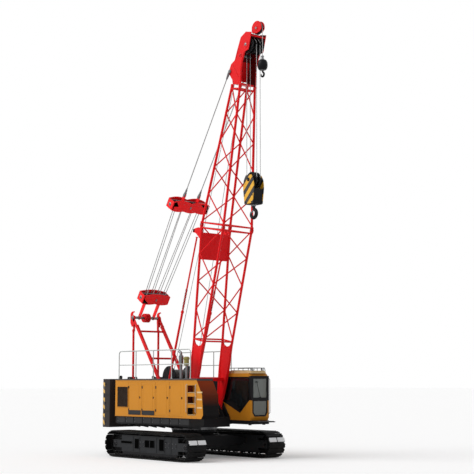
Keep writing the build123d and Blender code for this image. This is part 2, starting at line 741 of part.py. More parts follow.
def handrails():
    """Tube railings along the outer edge of both roofs."""
    made = []
    top = ROOF_TOP + RAIL_HEIGHT
    middle = ROOF_TOP + RAIL_HEIGHT / 2
    rear = HOUSE_REAR + RAIL_INSET
    for side, front in ((-1, RIGHT_RAIL_FRONT), (1, LEFT_HOUSE_FRONT - RAIL_INSET / 2)):
        y = side * (HOUSE_SIDE - RAIL_RADIUS)
        ends = [((rear, y, height), (front, y, height)) for height in (top, middle)]
        rail = [rod(*span, RAIL_RADIUS, BAR_SIDES) for span in ends]
        count = round((front - rear) / RAIL_PITCH) + 1
        for index in range(count):
            x = rear + (front - rear) * index / (count - 1)
            rail.append(rod((x, y, ROOF_TOP), (x, y, top), RAIL_RADIUS, BAR_SIDES))
        made.append(fused(rail))
    return group(made)


# --- cab ------------------------------------------------------------------------------
CAB_PROFILE = [
    (CAB_REAR, CAB_LOW), (CAB_REAR, CAB_TOP - 80), (CAB_REAR + 80, CAB_TOP), (CAB_FRONT - 150, CAB_TOP),
    (CAB_FRONT, CAB_TOP - 150), (CAB_FRONT, CAB_LOW + 120), (CAB_FRONT - 60, CAB_LOW),
]
SIDE_WINDOW = [(780, 2840), (780, 2000), (1330, 2000), (1700, 1620), (2200, 2060), (2200, 2780), (2130, 2840)]
WINDSHIELD = [(840, 2100), (840, 2820), (1520, 2820), (1520, 2100)]
LOW_SCREEN = [(860, 1620), (860, 2030), (1500, 2030), (1500, 1620), (1420, 1500), (940, 1500)]
REAR_WINDOW = [(860, 2150), (860, 2800), (1500, 2800), (1500, 2150)]
DOOR_WINDOW = [(1260, 1980), (1260, 2780), (2000, 2780), (2000, 1980)]


def cab_shell():
    """Hollow cab with window openings, and a door opening on its outer side."""
    body = shell(CAB_PROFILE, CAB_WALL, CAB_INNER, CAB_OUTER)
    body = body - prism(SIDE_WINDOW, "y", CAB_INNER, CAB_INNER + CAB_WALL)
    body = body - block(CAB_DOOR, (CAB_OUTER - CAB_WALL, CAB_OUTER), CAB_DOOR_SPAN)
    for window in (WINDSHIELD, LOW_SCREEN):
        body = body - prism(window, "x", CAB_FRONT - CAB_WALL, CAB_FRONT)
    return body - prism(REAR_WINDOW, "x", CAB_REAR, CAB_REAR + CAB_WALL)


def cab_glass():
    """Fixed panes, each seated in its window opening."""
    inner = CAB_INNER + GLASS_SET
    front = CAB_FRONT - GLASS_SET
    rear = CAB_REAR + GLASS_SET
    made = [prism(SIDE_WINDOW, "y", inner, inner + GLASS), prism(REAR_WINDOW, "x", rear, rear + GLASS)]
    return group(made + [prism(window, "x", front - GLASS, front) for window in (WINDSHIELD, LOW_SCREEN)])


def cab_door():
    wall = (CAB_OUTER - CAB_WALL, CAB_OUTER)
    span = (CAB_DOOR[0] + DOOR_GAP, CAB_DOOR[1] - DOOR_GAP)
    door = block(span, wall, (CAB_DOOR_SPAN[0] + DOOR_GAP, CAB_DOOR_SPAN[1] - DOOR_GAP))
    return door - prism(DOOR_WINDOW, "y", *wall)


def cab_door_glass():
    outer = CAB_OUTER - GLASS_SET
    return prism(DOOR_WINDOW, "y", outer - GLASS, outer)


def cab_deck():
    """Cab floor frame cantilevered from the upper frame, and the step plate in front of the cab."""
    deck = block((CAB_REAR, CAB_FRONT), (OUTER_WEB[1], CAB_OUTER), (CAB_LOW - CAB_DECK_DEPTH, CAB_LOW))
    step_top = CAB_LOW - CAB_STEP_PLATE
    across = (CAB_INNER + CAB_STEP_INSET, CAB_OUTER)
    return deck + block((CAB_FRONT, CAB_STEP_FRONT), across, (step_top - CAB_STEP_PLATE, step_top))


CAB_FLOOR = CAB_LOW + CAB_WALL
SEAT_Y = (CAB_INNER + CAB_OUTER) / 2


def cab_seat():
    """Operator's seat: pedestal, cushion and raked back."""
    rear, front = SEAT_X
    cushion = CAB_FLOOR + CUSHION_TOP
    foot = SEAT_HALF - PEDESTAL_INSET
    stand = (rear + PEDESTAL_INSET, front - PEDESTAL_INSET)
    seat = block(stand, (SEAT_Y - foot, SEAT_Y + foot), (CAB_FLOOR, cushion - CUSHION))
    seat = seat + block((rear, front), (SEAT_Y - SEAT_HALF, SEAT_Y + SEAT_HALF), (cushion - CUSHION, cushion))
    top = cushion + BACK_HEIGHT
    back = [(rear, cushion), (rear + BACK_DEPTH, cushion)]
    back += [(rear + BACK_DEPTH - BACK_RAKE, top), (rear - BACK_RAKE, top)]
    return seat + prism(back, "y", SEAT_Y - SEAT_HALF, SEAT_Y + SEAT_HALF)


def cab_console():
    """Armrest consoles each side of the seat, each with a control lever."""
    top = CAB_FLOOR + CONSOLE_HEIGHT
    made = []
    for side in (-1, 1):
        inner = SEAT_Y + side * (SEAT_HALF + CONSOLE_GAP)
        outer = inner + side * CONSOLE_WIDTH
        lever = ((inner + outer) / 2, CONSOLE_X[1] - CONSOLE_WIDTH / 2)
        stand = block(CONSOLE_X, sorted((inner, outer)), (CAB_FLOOR, top))
        foot = (lever[1], lever[0], top)
        made.append(stand + rod(foot, (lever[1], lever[0], top + LEVER_HEIGHT), LEVER_RADIUS, BAR_SIDES))
    return group(made)


# --- gantry ---------------------------------------------------------------------------
# Head plate of the gantry round its pin, with the horn that lifts it: ahead of the pin and above it.
HEAD_HORN = [
    (120, -60), (60, -330), (-60, -350), (-150, -200), (-150, 60), (-110, 170), (-20, 230),
    (90, 240), (110, 195), (20, 175), (0, 110), (100, 40),
]


def gantry_legs():
    """Front compression legs with two cross tubes, and a horned plate on each head."""
    low, high = GANTRY_HALF - LEG_HALF_WIDTH, GANTRY_HALF + LEG_HALF_WIDTH
    split = GANTRY_HALF + EYE_GAP
    run = math.hypot(GANTRY_HEAD[0] - LEG_FOOT[0], GANTRY_HEAD[1] - LEG_FOOT[1])
    ux = (GANTRY_HEAD[0] - LEG_FOOT[0]) / run
    uz = (GANTRY_HEAD[1] - LEG_FOOT[1]) / run

    def along(distance):
        return (LEG_FOOT[0] + ux * distance, LEG_FOOT[1] + uz * distance)

    leg = bar(along(0), along(run - LEG_SPLIT), low, high, LEG_DEPTH)
    leg = leg + bar(along(run - LEG_SPLIT - 1), along(run), split, high, LEG_DEPTH)
    leg = leg + drum(*LEG_FOOT, LEG_EYE_RADIUS, low, high, SHEAVE_SIDES)
    leg = leg + drum(*LEG_FOOT, LEG_PIN_RADIUS, INNER_WEB[0], OUTER_WEB[1], PIN_SIDES)
    horn = [(GANTRY_HEAD[0] + dx, GANTRY_HEAD[1] + dz) for dx, dz in HEAD_HORN]
    leg = leg + prism(horn, "y", high - HORN_PLATE, high)
    leg = leg - drum(*GANTRY_HEAD, GANTRY_SHAFT_RADIUS, split, high, PIN_SIDES)
    legs = leg + mirrored(leg)
    for height in CROSS_TUBE_Z:
        x, z = along((height - LEG_FOOT[1]) / uz)
        legs = legs + rod((x, -GANTRY_HALF, z), (x, GANTRY_HALF, z), CROSS_TUBE_RADIUS, TUBE_SIDES)
    return legs


def gantry_struts():
    """Rear tension struts, from the frame to the gantry head."""
    x, top = GANTRY_HEAD
    low, high = GANTRY_HALF - LEG_HALF_WIDTH, GANTRY_HALF - EYE_GAP
    foot = (x, GANTRY_HALF, STRUT_FOOT_Z)
    strut = rod(foot, (x, GANTRY_HALF, top - LEG_SPLIT - 60), LEG_HALF_WIDTH, TUBE_SIDES)
    strut = strut + block((x - LEG_HALF_WIDTH, x + LEG_HALF_WIDTH), (low, high), (top - LEG_SPLIT - 100, top))
    strut = strut + drum(x, top, LEG_EYE_RADIUS, low, high, SHEAVE_SIDES)
    strut = strut + drum(x, STRUT_FOOT_Z, LEG_EYE_RADIUS, low, GANTRY_HALF + LEG_HALF_WIDTH, SHEAVE_SIDES)
    strut = strut + drum(x, STRUT_FOOT_Z, STRUT_PIN_RADIUS, INNER_WEB[0], OUTER_WEB[1], PIN_SIDES)
    return pair(strut - drum(x, top, GANTRY_SHAFT_RADIUS, low, high, PIN_SIDES))


def gantry_head():
    """Head shaft with its return sheaves."""
    reach = GANTRY_HALF + LEG_HALF_WIDTH + CAP_REACH
    head = drum(*GANTRY_HEAD, GANTRY_SHAFT_RADIUS, -reach, reach, PIN_SIDES)
    for y in GANTRY_SHEAVE_Y:
        edges = (y - GANTRY_SHEAVE_HALF, y + GANTRY_SHEAVE_HALF)
        head = head + drum(*GANTRY_HEAD, GANTRY_SHEAVE_RADIUS, *edges, SHEAVE_SIDES)
    return head


def backstops():
    """Spring struts that catch the boom at its steepest."""
    foot = BACKSTOP_FOOT
    top = boom_xz(*BACKSTOP_TOP)
    mid = ((foot[0] + top[0]) / 2, (foot[1] + top[1]) / 2)
    made = []
    for side in (-1, 1):
        y = side * BACKSTOP_Y
        strut = rod((foot[0], y, foot[1]), (mid[0], y, mid[1]), BACKSTOP_RADII[0], TUBE_SIDES)
        strut = strut + rod((mid[0], y, mid[1]), (top[0], y, top[1]), BACKSTOP_RADII[1], TUBE_SIDES)
        seat = sorted((side * (2 * BACKSTOP_Y - OUTER_WEB[0]), side * OUTER_WEB[0]))
        made.append(strut + drum(*foot, BACKSTOP_EYE, *seat, PIN_SIDES))
    return group(made)


# --- boom -----------------------------------------------------------------------------
COS = math.cos(math.radians(BOOM_ANGLE))
SIN = math.sin(math.radians(BOOM_ANGLE))


def boom_xz(along, rear):
    """Side-view point of the boom: distance from its foot, and distance behind its middle."""
    return (BOOM_FOOT[0] + along * COS - rear * SIN, BOOM_FOOT[1] + along * SIN + rear * COS)


def boom_point(along, y, rear):
    x, z = boom_xz(along, rear)
    return (x, y, z)


def boom_plate(points, low, high):
    return prism([boom_xz(along, rear) for along, rear in points], "y", low, high)


def corner(along, side, face, starts, ends, reach):
    """Chord axis of a tapering section, whose half width and depth run from starts to ends."""
    share = (along - reach[0]) / (reach[1] - reach[0])
    y = starts[0] + (ends[0] - starts[0]) * share
    rear = starts[1] + (ends[1] - starts[1]) * share
    return boom_point(along, side * y, face * rear)


def braces(starts, ends, reach, bays):
    """Zigzag braces on the four faces of a section, with a square frame at each end."""
    nodes = [reach[0] + (reach[1] - reach[0]) * step / bays for step in range(bays + 1)]
    bars = []

    def add(first, second, radius):
        low, high = (corner(*end, starts, ends, reach) for end in (first, second))
        bars.append(rod(low, high, radius, BAR_SIDES))

    for index in range(bays):
        near, far = nodes[index], nodes[index + 1]
        turn = 1 if index % 2 else -1
        for side in (-1, 1):
            add((near, side, turn), (far, side, -turn), LACING_RADIUS)
            add((near, turn, side), (far, -turn, side), LACING_RADIUS)
    for along in reach:
        for side in (-1, 1):
            add((along - END_SET, side, -1), (along - END_SET, side, 1), FRAME_RADIUS)
            add((along - END_SET, -1, side), (along - END_SET, 1, side), FRAME_RADIUS)
    return bars


def trimmed(bars, frames):
    """The bars as separate solids that end on the chords."""
    kept = []
    for piece in bars:
        cut = piece - frames
        kept.append(max(cut.solids(), key=lambda solid: solid.volume))
    return kept


def chord(start, end, collars):
    """Chord tube with a thicker collar at each of the given ends."""
    made = [rod(start, end, CHORD_RADIUS, TUBE_SIDES)]
    way = (Vector(*end) - Vector(*start)).normalized() * COLLAR_LENGTH
    if "start" in collars:
        made.append(rod(start, Vector(*start) + way, COLLAR_RADIUS, TUBE_SIDES))
    if "end" in collars:
        made.append(rod(Vector(*end) - way, end, COLLAR_RADIUS, TUBE_SIDES))
    return fused(made)


def boom_slab(near, far):
    """Block across the whole boom between two distances, for square ends."""
    reach = SECTION_WIDTH
    return boom_plate([(near, -reach), (near, reach), (far, reach), (far, -reach)], -reach, reach)


def base_half_depth(along):
    """Half depth of the base section, which tapers to the foot."""
    return FOOT_HALF_DEPTH + (SECTION_DEPTH / 2 - FOOT_HALF_DEPTH) * along / BASE_LENGTH


def boom_base():
    """Boom base section: two side frames, each of two chords that run into a plated leg."""
    half = SECTION_WIDTH / 2
    depth = SECTION_DEPTH / 2
    made = []
    for side in (-1, 1):
        parts = []
        for face in (-1, 1):
            low = boom_point(CHORD_ROOT, side * half, face * base_half_depth(CHORD_ROOT))
            parts.append(chord(low, boom_point(BASE_LENGTH, side * half, face * depth), ("end",)))
        low, high = sorted((side * (half - LEG_HALF), side * (half + LEG_HALF)))
        top = base_half_depth(LEG_PLATE_LENGTH)
        foot = FOOT_HALF_DEPTH
        notch = LEG_PLATE_LENGTH - LEG_NOTCH
        leg = [(0, -foot), (LEG_PLATE_LENGTH, -top), (notch, 0), (LEG_PLATE_LENGTH, top), (0, foot)]
        parts.append(boom_plate(leg, low, high))
        stop = BASE_LENGTH
        bracket = [
            (stop - 540, depth - 60), (stop - 350, depth + 240), (stop - 300, depth + 440),
            (stop - 210, depth + 440), (stop - 120, depth + 160), (stop - 120, depth - 60),
        ]
        seat = sorted((side * (BACKSTOP_Y - LEG_HALF), side * (BACKSTOP_Y + LEG_HALF)))
        parts.append(boom_plate(bracket, *seat))
        bush = sorted((side * (INNER_WEB[1] + FOOT_GAP), side * (OUTER_WEB[0] - FOOT_GAP)))
        parts.append(drum(*BOOM_FOOT, FOOT_BUSH, *bush, SHEAVE_SIDES))
        frame = fused(parts) - drum(*BOOM_FOOT, FOOT_PIN_RADIUS + RUNNING_GAP, *bush)
        made.append(frame - boom_slab(BASE_LENGTH, BASE_LENGTH + SQUARE_CUT))
    return made


def boom_base_braces():
    """Lacing, end frames, foot plate and rear joint plate of the base section."""
    half = SECTION_WIDTH / 2
    reach = (LEG_PLATE_LENGTH + END_SET, BASE_LENGTH - END_SET / 2)
    starts = (half, base_half_depth(reach[0]))
    bars = braces(starts, (half, base_half_depth(reach[1])), reach, BASE_BAYS)
    low, high = FOOT_TIE
    tie = [(low, -FOOT_TIE_HALF), (low, FOOT_TIE_HALF), (high, FOOT_TIE_HALF), (high, -FOOT_TIE_HALF)]
    bars.append(boom_plate(tie, -half, half))
    plate = [(along, base_half_depth(along) + JOINT_PLATE_HALF) for along in JOINT_PLATE]
    plate += [(along, base_half_depth(along) - JOINT_PLATE_HALF) for along in reversed(JOINT_PLATE)]
    bars.append(boom_plate(plate, -half, half))
    return group(trimmed(bars, group(boom_base())))


def boom_top():
    """Boom top section: four chords that taper to the head."""
    made = []
    for side in (-1, 1):
        for face in (-1, 1):
            start = boom_point(BASE_LENGTH, side * SECTION_WIDTH / 2, face * SECTION_DEPTH / 2)
            end = boom_point(HEAD_START, side * HEAD_WIDTH / 2, face * HEAD_DEPTH / 2)
            tube = chord(start, end, ("start",)) - boom_slab(BASE_LENGTH - SQUARE_CUT, BASE_LENGTH)
            made.append(tube - boom_slab(HEAD_START, HEAD_START + SQUARE_CUT))
    return made


def boom_top_braces():
    """Lacing and end frames of the top section."""
    reach = (BASE_LENGTH, HEAD_START)
    starts = (SECTION_WIDTH / 2, SECTION_DEPTH / 2)
    ends = (HEAD_WIDTH / 2, HEAD_DEPTH / 2)
    inside = (BASE_LENGTH + 2 * END_SET, HEAD_START - END_SET)
    share = [(along - reach[0]) / (reach[1] - reach[0]) for along in inside]
    spans = [tuple(a + (b - a) * part for a, b in zip(starts, ends)) for part in share]
    return group(trimmed(braces(*spans, inside, TOP_BAYS), group(boom_top())))


# Head plate outline: distances past the end of the top section and behind the middle.
HEAD_OUTLINE = [
    (0, -270), (450, -200), (800, -200), (1150, -270), (1230, -450), (1830, -500), (1850, -200),
    (1660, 50), (1270, 150), (850, 240), (710, 420), (550, 470), (320, 420), (150, 240), (0, 190),
]
# Cross webs of the head, as outlines in the same two distances.
HEAD_WEBS = [
    [(0, -200), (60, -200), (60, 190), (0, 190)],
    [(150, 240), (175, 220), (850, 215), (850, 240)],
    [(1270, 150), (1270, 125), (1650, 28), (1790, -180), (1830, -180), (1660, 50)],
    [(1705, -480), (1705, -150), (1745, -150), (1745, -480)],
]


def head_plate(points, low, high):
    return boom_plate([(HEAD_START + along, rear) for along, rear in points], low, high)


def boom_head():
    """Head plates with cross webs, pendant lugs and the shafts' bores."""
    head = []
    for side in (-1, 1):
        head.append(head_plate(HEAD_OUTLINE, *sorted((side * HEAD_PLATE[0], side * HEAD_PLATE[1]))))
    head += [head_plate(web, -HEAD_PLATE[0], HEAD_PLATE[0]) for web in HEAD_WEBS]
    head = fused(head)
    width = HEAD_PLATE[1]
    head = head - drum(*boom_xz(*MAIN_SHEAVE), HEAD_SHAFT_RADIUS, -width, width, SHEAVE_SIDES)
    head = head - drum(*boom_xz(*PENDANT_PIN), PENDANT_PIN_RADIUS, -width, width, SHEAVE_SIDES)
    return head - drum(*boom_xz(*JIB_PIN), JIB_PIN_RADIUS, -width, width)


def sheave(centre, radius, y, width):
    """Rope sheave with a groove between two rims."""
    half = width / 2
    wheel = drum(*centre, radius - 20, y - half, y + half, SHEAVE_SIDES)
    for face in (-1, 1):
        rim = sorted((y + face * half, y + face * half * 0.55))
        wheel = wheel + drum(*centre, radius, *rim, SHEAVE_SIDES)
    return wheel


def head_sheaves():
    """Main hoist sheaves and the guide roller, on their shafts in the head."""
    centre = boom_xz(*MAIN_SHEAVE)
    reach = HEAD_PLATE[1] + 15
    body = [drum(*centre, HEAD_SHAFT_RADIUS, -reach, reach, SHEAVE_SIDES)]
    for side in (-1, 1):
        body.append(sheave(centre, MAIN_SHEAVE_RADIUS, side * MAIN_FALL_Y, SHEAVE_WIDTH))
        outer = side * 3 * MAIN_FALL_Y
        low, high = outer - SHEAVE_WIDTH / 2, outer + SHEAVE_WIDTH / 2
        body.append(drum(*centre, MAIN_SHEAVE_RADIUS, low, high, SHEAVE_SIDES))
    guide = drum(*boom_xz(*GUIDE_ROLLER), GUIDE_RADIUS, -HEAD_PLATE[0], HEAD_PLATE[0], PIN_SIDES)
    return group([fused(body), guide])


def tip_extension():
    """Short fly tip with a single sheave ahead of the head."""
    centre = boom_xz(*AUX_SHEAVE)
    foot = HEAD_WEBS[-1][-1][0]
    arm = [
        (foot, -470), (1900, -620), (2010, -700), (2170, -640), (2270, -450),
        (2210, -250), (2050, -170), (1900, -190), (foot, -250),
    ]
    parts = [head_plate(arm, low, low + HEAD_WEB) for low in (-85, 60)]
    parts.append(drum(*centre, AUX_SHEAVE_RADIUS, -35, 35, SHEAVE_SIDES))
    return fused(parts) + drum(*centre, 45, -100, 100, PIN_SIDES)


# --- luffing rope work ----------------------------------------------------------------
PENDANT_END = boom_xz(*PENDANT_PIN)
LINE_RUN = math.hypot(PENDANT_END[0] - GANTRY_HEAD[0], PENDANT_END[1] - GANTRY_HEAD[1])
LINE_COS = (PENDANT_END[0] - GANTRY_HEAD[0]) / LINE_RUN
LINE_SIN = (PENDANT_END[1] - GANTRY_HEAD[1]) / LINE_RUN


def line_xz(along, above):
    """Side-view point of the luffing line: distance from the gantry shaft, and height off the line."""
    return (
        GANTRY_HEAD[0] + along * LINE_COS - above * LINE_SIN,
        GANTRY_HEAD[1] + along * LINE_SIN + above * LINE_COS,
    )


def line_point(along, y, above=0):
    x, z = line_xz(along, above)
    return (x, y, z)


def line_plate(points, low, high):
    return prism([line_xz(along, above) for along, above in points], "y", low, high)


def line_sheet(points, low, high):
    """Sheet between two heights off the line, from an outline of distances along it and across it."""
    face = Face(Wire.make_polygon([line_point(along, y, low) for along, y in points], close=True))
    way = Vector(*line_point(0, 0, high)) - Vector(*line_point(0, 0, low))
    return Part() + Solid.extrude(face, way)


def humps(at, width, count, rise):
    """Wavy edge of a spreader plate, with one arched hump after another across its width."""
    pitch = width / count
    points = []
    for hump in range(count):
        low = -width / 2 + hump * pitch
        for step in range(HUMP_STEPS):
            share = step / HUMP_STEPS
            points.append((at + rise * math.sin(math.pi * share), low + pitch * share))
    return points + [(at, width / 2)]


def spreader(at, width, falls, top_humps, low_humps):
    """Sheave pairs on a cross shaft between two wavy cover plates and two end plates."""
    half = width / 2
    deep = SPREADER_DEPTH / 2
    reach = SPREADER_HALF - SPREADER_LIP
    edge = humps(at + reach, width, top_humps, SPREADER_LIP)
    edge += humps(at - reach, width, low_humps, -SPREADER_LIP / 2)[::-1]
    body = line_sheet(edge, -deep, SPREADER_PLATE - deep) + line_sheet(edge, deep - SPREADER_PLATE, deep)
    end = [(at - reach, -deep), (at + reach, -deep), (at + reach, deep), (at - reach, deep)]
    for low in (-half, half - SPREADER_PLATE):
        body = body + line_plate(end, low, low + SPREADER_PLATE)
    body = body + drum(*line_xz(at, 0), SPREADER_SHAFT, -half, half, PIN_SIDES)
    for first, last in zip(falls[::2], falls[1::2]):
        rims = (first - SPREADER_SHEAVE_HALF, last + SPREADER_SHEAVE_HALF)
        body = body + drum(*line_xz(at, 0), SPREADER_SHEAVE_RADIUS, *rims, SHEAVE_SIDES)
    return body


def lower_spreader():
    """Sheave frame hung from the gantry shaft by two links."""
    body = spreader(LOWER_SPREADER, LOWER_SPREADER_WIDTH, [low for low, high in FALL_Y], 1, 2)
    for side in (-1, 1):
        link = [(-LINK_EYE, -70), (-LINK_EYE, 70), (LOWER_SPREADER, 90), (LOWER_SPREADER, -90)]
        body = body + line_plate(link, *sorted((side * LINK_Y, side * (LINK_Y + LINK_PLATE))))
    return body - drum(*GANTRY_HEAD, GANTRY_SHAFT_RADIUS + RUNNING_GAP, -GANTRY_HALF, GANTRY_HALF)


def upper_spreader():
    """Sheave frame at the pendants' lower ends, with a lug for each pendant."""
    at = UPPER_SPREADER
    body = spreader(at, UPPER_SPREADER_WIDTH, [high for low, high in FALL_Y], 2, 3)
    for side in (-1, 1):
        lug = [(at, -90), (at + LUG_END, -60), (at + LUG_END, 60), (at, 90)]
        body = body + line_plate(lug, *sorted((side * LUG_Y, side * (LUG_Y + LUG_PLATE))))
    return body


def luffing_falls():
    """Luffing rope parts between the two spreaders."""
    start = LOWER_SPREADER + SPREADER_SHEAVE_RADIUS + ROPE_SEAT
    end = UPPER_SPREADER - SPREADER_SHEAVE_RADIUS - ROPE_SEAT
    spans = [(line_point(start, low), line_point(end, high)) for low, high in FALL_Y]
    return group([rod(*span, ROPE_RADIUS, BAR_SIDES) for span in spans])


def pendants():
    """Boom pendants with a socket at each end."""
    start = UPPER_SPREADER + LUG_END + ROPE_SEAT
    made = []
    for side in (-1, 1):
        low, high = side * 330, side * (HEAD_PLATE[1] + 26)
        rope = rod(line_point(start, low), line_point(LINE_RUN - 60, high), PENDANT_RADIUS, TUBE_SIDES)
        rope = rope + rod(line_point(start, low), line_point(start + 260, low), 38, TUBE_SIDES)
        eye = sorted((side * (HEAD_PLATE[1] + 6), side * (HEAD_PLATE[1] + 46)))
        rope = rope + drum(*PENDANT_END, 62, *eye, SHEAVE_SIDES)
        socket = [(LINE_RUN - 300, -40), (LINE_RUN - 300, 40), (LINE_RUN, 50), (LINE_RUN, -50)]
        made.append(rope + line_plate(socket, *eye))
    return group(made)


# --- hooks ----------------------------------------------------------------------------
MAIN_X, MAIN_AXIS_Z = boom_xz(*MAIN_SHEAVE)
AUX_AXIS_X, AUX_AXIS_Z = boom_xz(*AUX_SHEAVE)
AUX_X = AUX_AXIS_X + AUX_SHEAVE_RADIUS + ROPE_RADIUS + ROPE_SEAT
BLOCK_TOP = MAIN_AXIS_Z - MAIN_FALL_LENGTH
BLOCK_LOW = BLOCK_TOP - BLOCK_HEIGHT
BALL_TOP = AUX_AXIS_Z - AUX_FALL_LENGTH


def main_falls():
    """Hoist rope falls between the head sheaves and the hook block."""
    made = []
    offset = MAIN_SHEAVE_RADIUS + ROPE_RADIUS + ROPE_SEAT
    for y in (-MAIN_FALL_Y, MAIN_FALL_Y):
        for x in (MAIN_X - offset, MAIN_X + offset):
            made.append(rod((x, y, BLOCK_TOP - 220), (x, y, MAIN_AXIS_Z - 60), ROPE_RADIUS, BAR_SIDES))
    return group(made)


# Cheek outline of the hook block: distance ahead of its middle, and distance below its top.
CHEEK = [
    (-150, -130), (150, -130), (250, -290), (285, -470), (285, -620), (215, -BLOCK_HEIGHT),
    (-215, -BLOCK_HEIGHT), (-285, -620), (-285, -470), (-250, -290),
]


def hook_block():
    """Main hook block: weighted cheek plates, sheaves and the crosshead."""
    outline = [(MAIN_X + x, BLOCK_TOP + z) for x, z in CHEEK]
    edge = BLOCK_HALF_WIDTH
    parts = [prism(outline, "y", low, low + CHEEK_PLATE) for low in (-edge, edge - CHEEK_PLATE)]
    top = BLOCK_TOP - 2 * MAIN_SHEAVE_RADIUS - 80
    weight = [(MAIN_X - 255, top), (MAIN_X + 255, top), (MAIN_X + 200, BLOCK_LOW), (MAIN_X - 200, BLOCK_LOW)]
    parts.append(prism(weight, "y", -edge, edge))
    axis = (MAIN_X, BLOCK_TOP - MAIN_SHEAVE_RADIUS - 10)
    parts.append(drum(*axis, 45, -edge - 15, edge + 15, PIN_SIDES))
    parts += [sheave(axis, MAIN_SHEAVE_RADIUS, y, SHEAVE_WIDTH) for y in (-MAIN_FALL_Y, MAIN_FALL_Y)]
    return fused(parts)


def hook_outline(x, top, size):
    """Plain crane hook in side view: a shank, a round back and an open bowl."""
    inner = size * 0.45
    middle = top - size * 1.5
    outer = ring_points(x, middle, size, 10, 150, 380)
    bowl = ring_points(x, middle, inner, 9, 370, 110)
    left = [(x - size * 0.3, top), (x - size * 0.3, middle + size * 0.8)]
    right = [(x + size * 0.26, middle + size * 0.75), (x + size * 0.26, top)]
    return left + outer + bowl + right


def main_hook():
    """Main hook under its crosshead; the shank meets the block's underside."""
    outline = hook_outline(MAIN_X, BLOCK_LOW, MAIN_HOOK_SIZE)
    return prism(outline, "y", -MAIN_HOOK_HALF, MAIN_HOOK_HALF)


def aux_fall():
    """Auxiliary hoist rope, from the tip sheave to the ball."""
    return rod((AUX_X, 0, BALL_TOP), (AUX_X, 0, AUX_AXIS_Z - 20), ROPE_RADIUS, BAR_SIDES)


def ball_profile(low):
    """Half outline of the ball weight: radius and height, from its foot to its crown."""
    points = []
    for step in range(BALL_STEPS + 1):
        turn = math.pi * step / BALL_STEPS
        radius = BALL_RADIUS * (0.45 + 0.55 * math.sin(turn))
        points.append((radius, low + BALL_HEIGHT * (1 - math.cos(turn)) / 2))
    return points


def aux_ball():
    """Auxiliary hook weight with its swivel and hook."""
    weight_top = BALL_TOP - SWIVEL_HEIGHT
    weight_low = weight_top - BALL_HEIGHT
    body = rod((AUX_X, 0, weight_top), (AUX_X, 0, BALL_TOP), SWIVEL_RADIUS, PIN_SIDES)
    body = body + turned(ball_profile(weight_low), AUX_X, SHEAVE_SIDES)
    hook = hook_outline(AUX_X, weight_low, AUX_HOOK_SIZE)
    return body + prism(hook, "y", -AUX_HOOK_HALF, AUX_HOOK_HALF)


# --- nodes ----------------------------------------------------------------------------
def all_nodes():
    nodes = {}
    for side, name in ((1, "left"), (-1, "right")):
        nodes["track_" + name] = track(side)
        nodes["track_frame_" + name] = track_frame(side)
    nodes["idlers"] = group([idler(-1), idler(1)])
    nodes["sprockets"] = group([sprocket(-1), sprocket(1)])
    nodes["rollers"] = group(rollers(-1) + rollers(1))
    nodes["carbody"] = carbody()
    nodes["slew_ring"] = slew_ring()
    nodes["slew_frame"] = slew_frame()
    nodes["foot_pins"] = foot_pins()
    nodes["winch_drums"] = winch_drums()
    nodes["side_decks"] = side_decks()
    nodes["counterweight"] = counterweight()
    nodes["house_right"] = house_right()
    nodes["house_left"] = house_left()
    for index in range(RIGHT_DOORS):
        nodes["right_door_" + str(index + 1)] = service_door(RIGHT_DOOR_START, index, -1)
    for index in range(LEFT_DOORS):
        nodes["left_door_" + str(index + 1)] = service_door(LEFT_DOOR_START, index, 1)
    nodes["roof_plates"] = roof_plates()
    nodes["engine_block"] = engine_block()
    nodes["handrails"] = handrails()
    nodes["cab_shell"] = cab_shell()
    nodes["cab_glass"] = cab_glass()
    nodes["cab_door"] = cab_door()
    nodes["cab_door_glass"] = cab_door_glass()
    nodes["cab_deck"] = cab_deck()
    nodes["cab_seat"] = cab_seat()
    nodes["cab_console"] = cab_console()
    nodes["gantry_legs"] = gantry_legs()
    nodes["gantry_struts"] = gantry_struts()
    nodes["gantry_head"] = gantry_head()
    nodes["backstops"] = backstops()
    nodes["boom_base"] = group(boom_base())
    nodes["boom_base_braces"] = boom_base_braces()
    nodes["boom_top"] = group(boom_top())
    nodes["boom_top_braces"] = boom_top_braces()
    nodes["boom_head"] = boom_head()
    nodes["head_sheaves"] = head_sheaves()
    nodes["tip_extension"] = tip_extension()
    nodes["lower_spreader"] = lower_spreader()
    nodes["luffing_falls"] = luffing_falls()
    nodes["upper_spreader"] = upper_spreader()
    nodes["pendants"] = pendants()
    nodes["main_falls"] = main_falls()
    nodes["hook_block"] = hook_block()
    nodes["main_hook"] = main_hook()
    nodes["aux_fall"] = aux_fall()
    nodes["aux_ball"] = aux_ball()
    return nodes


for node, shape in all_nodes().items():
    export_step(shape, "parts/" + node + ".step")
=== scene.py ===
import json
import math

import bmesh
import bpy
from mathutils import Matrix, Vector

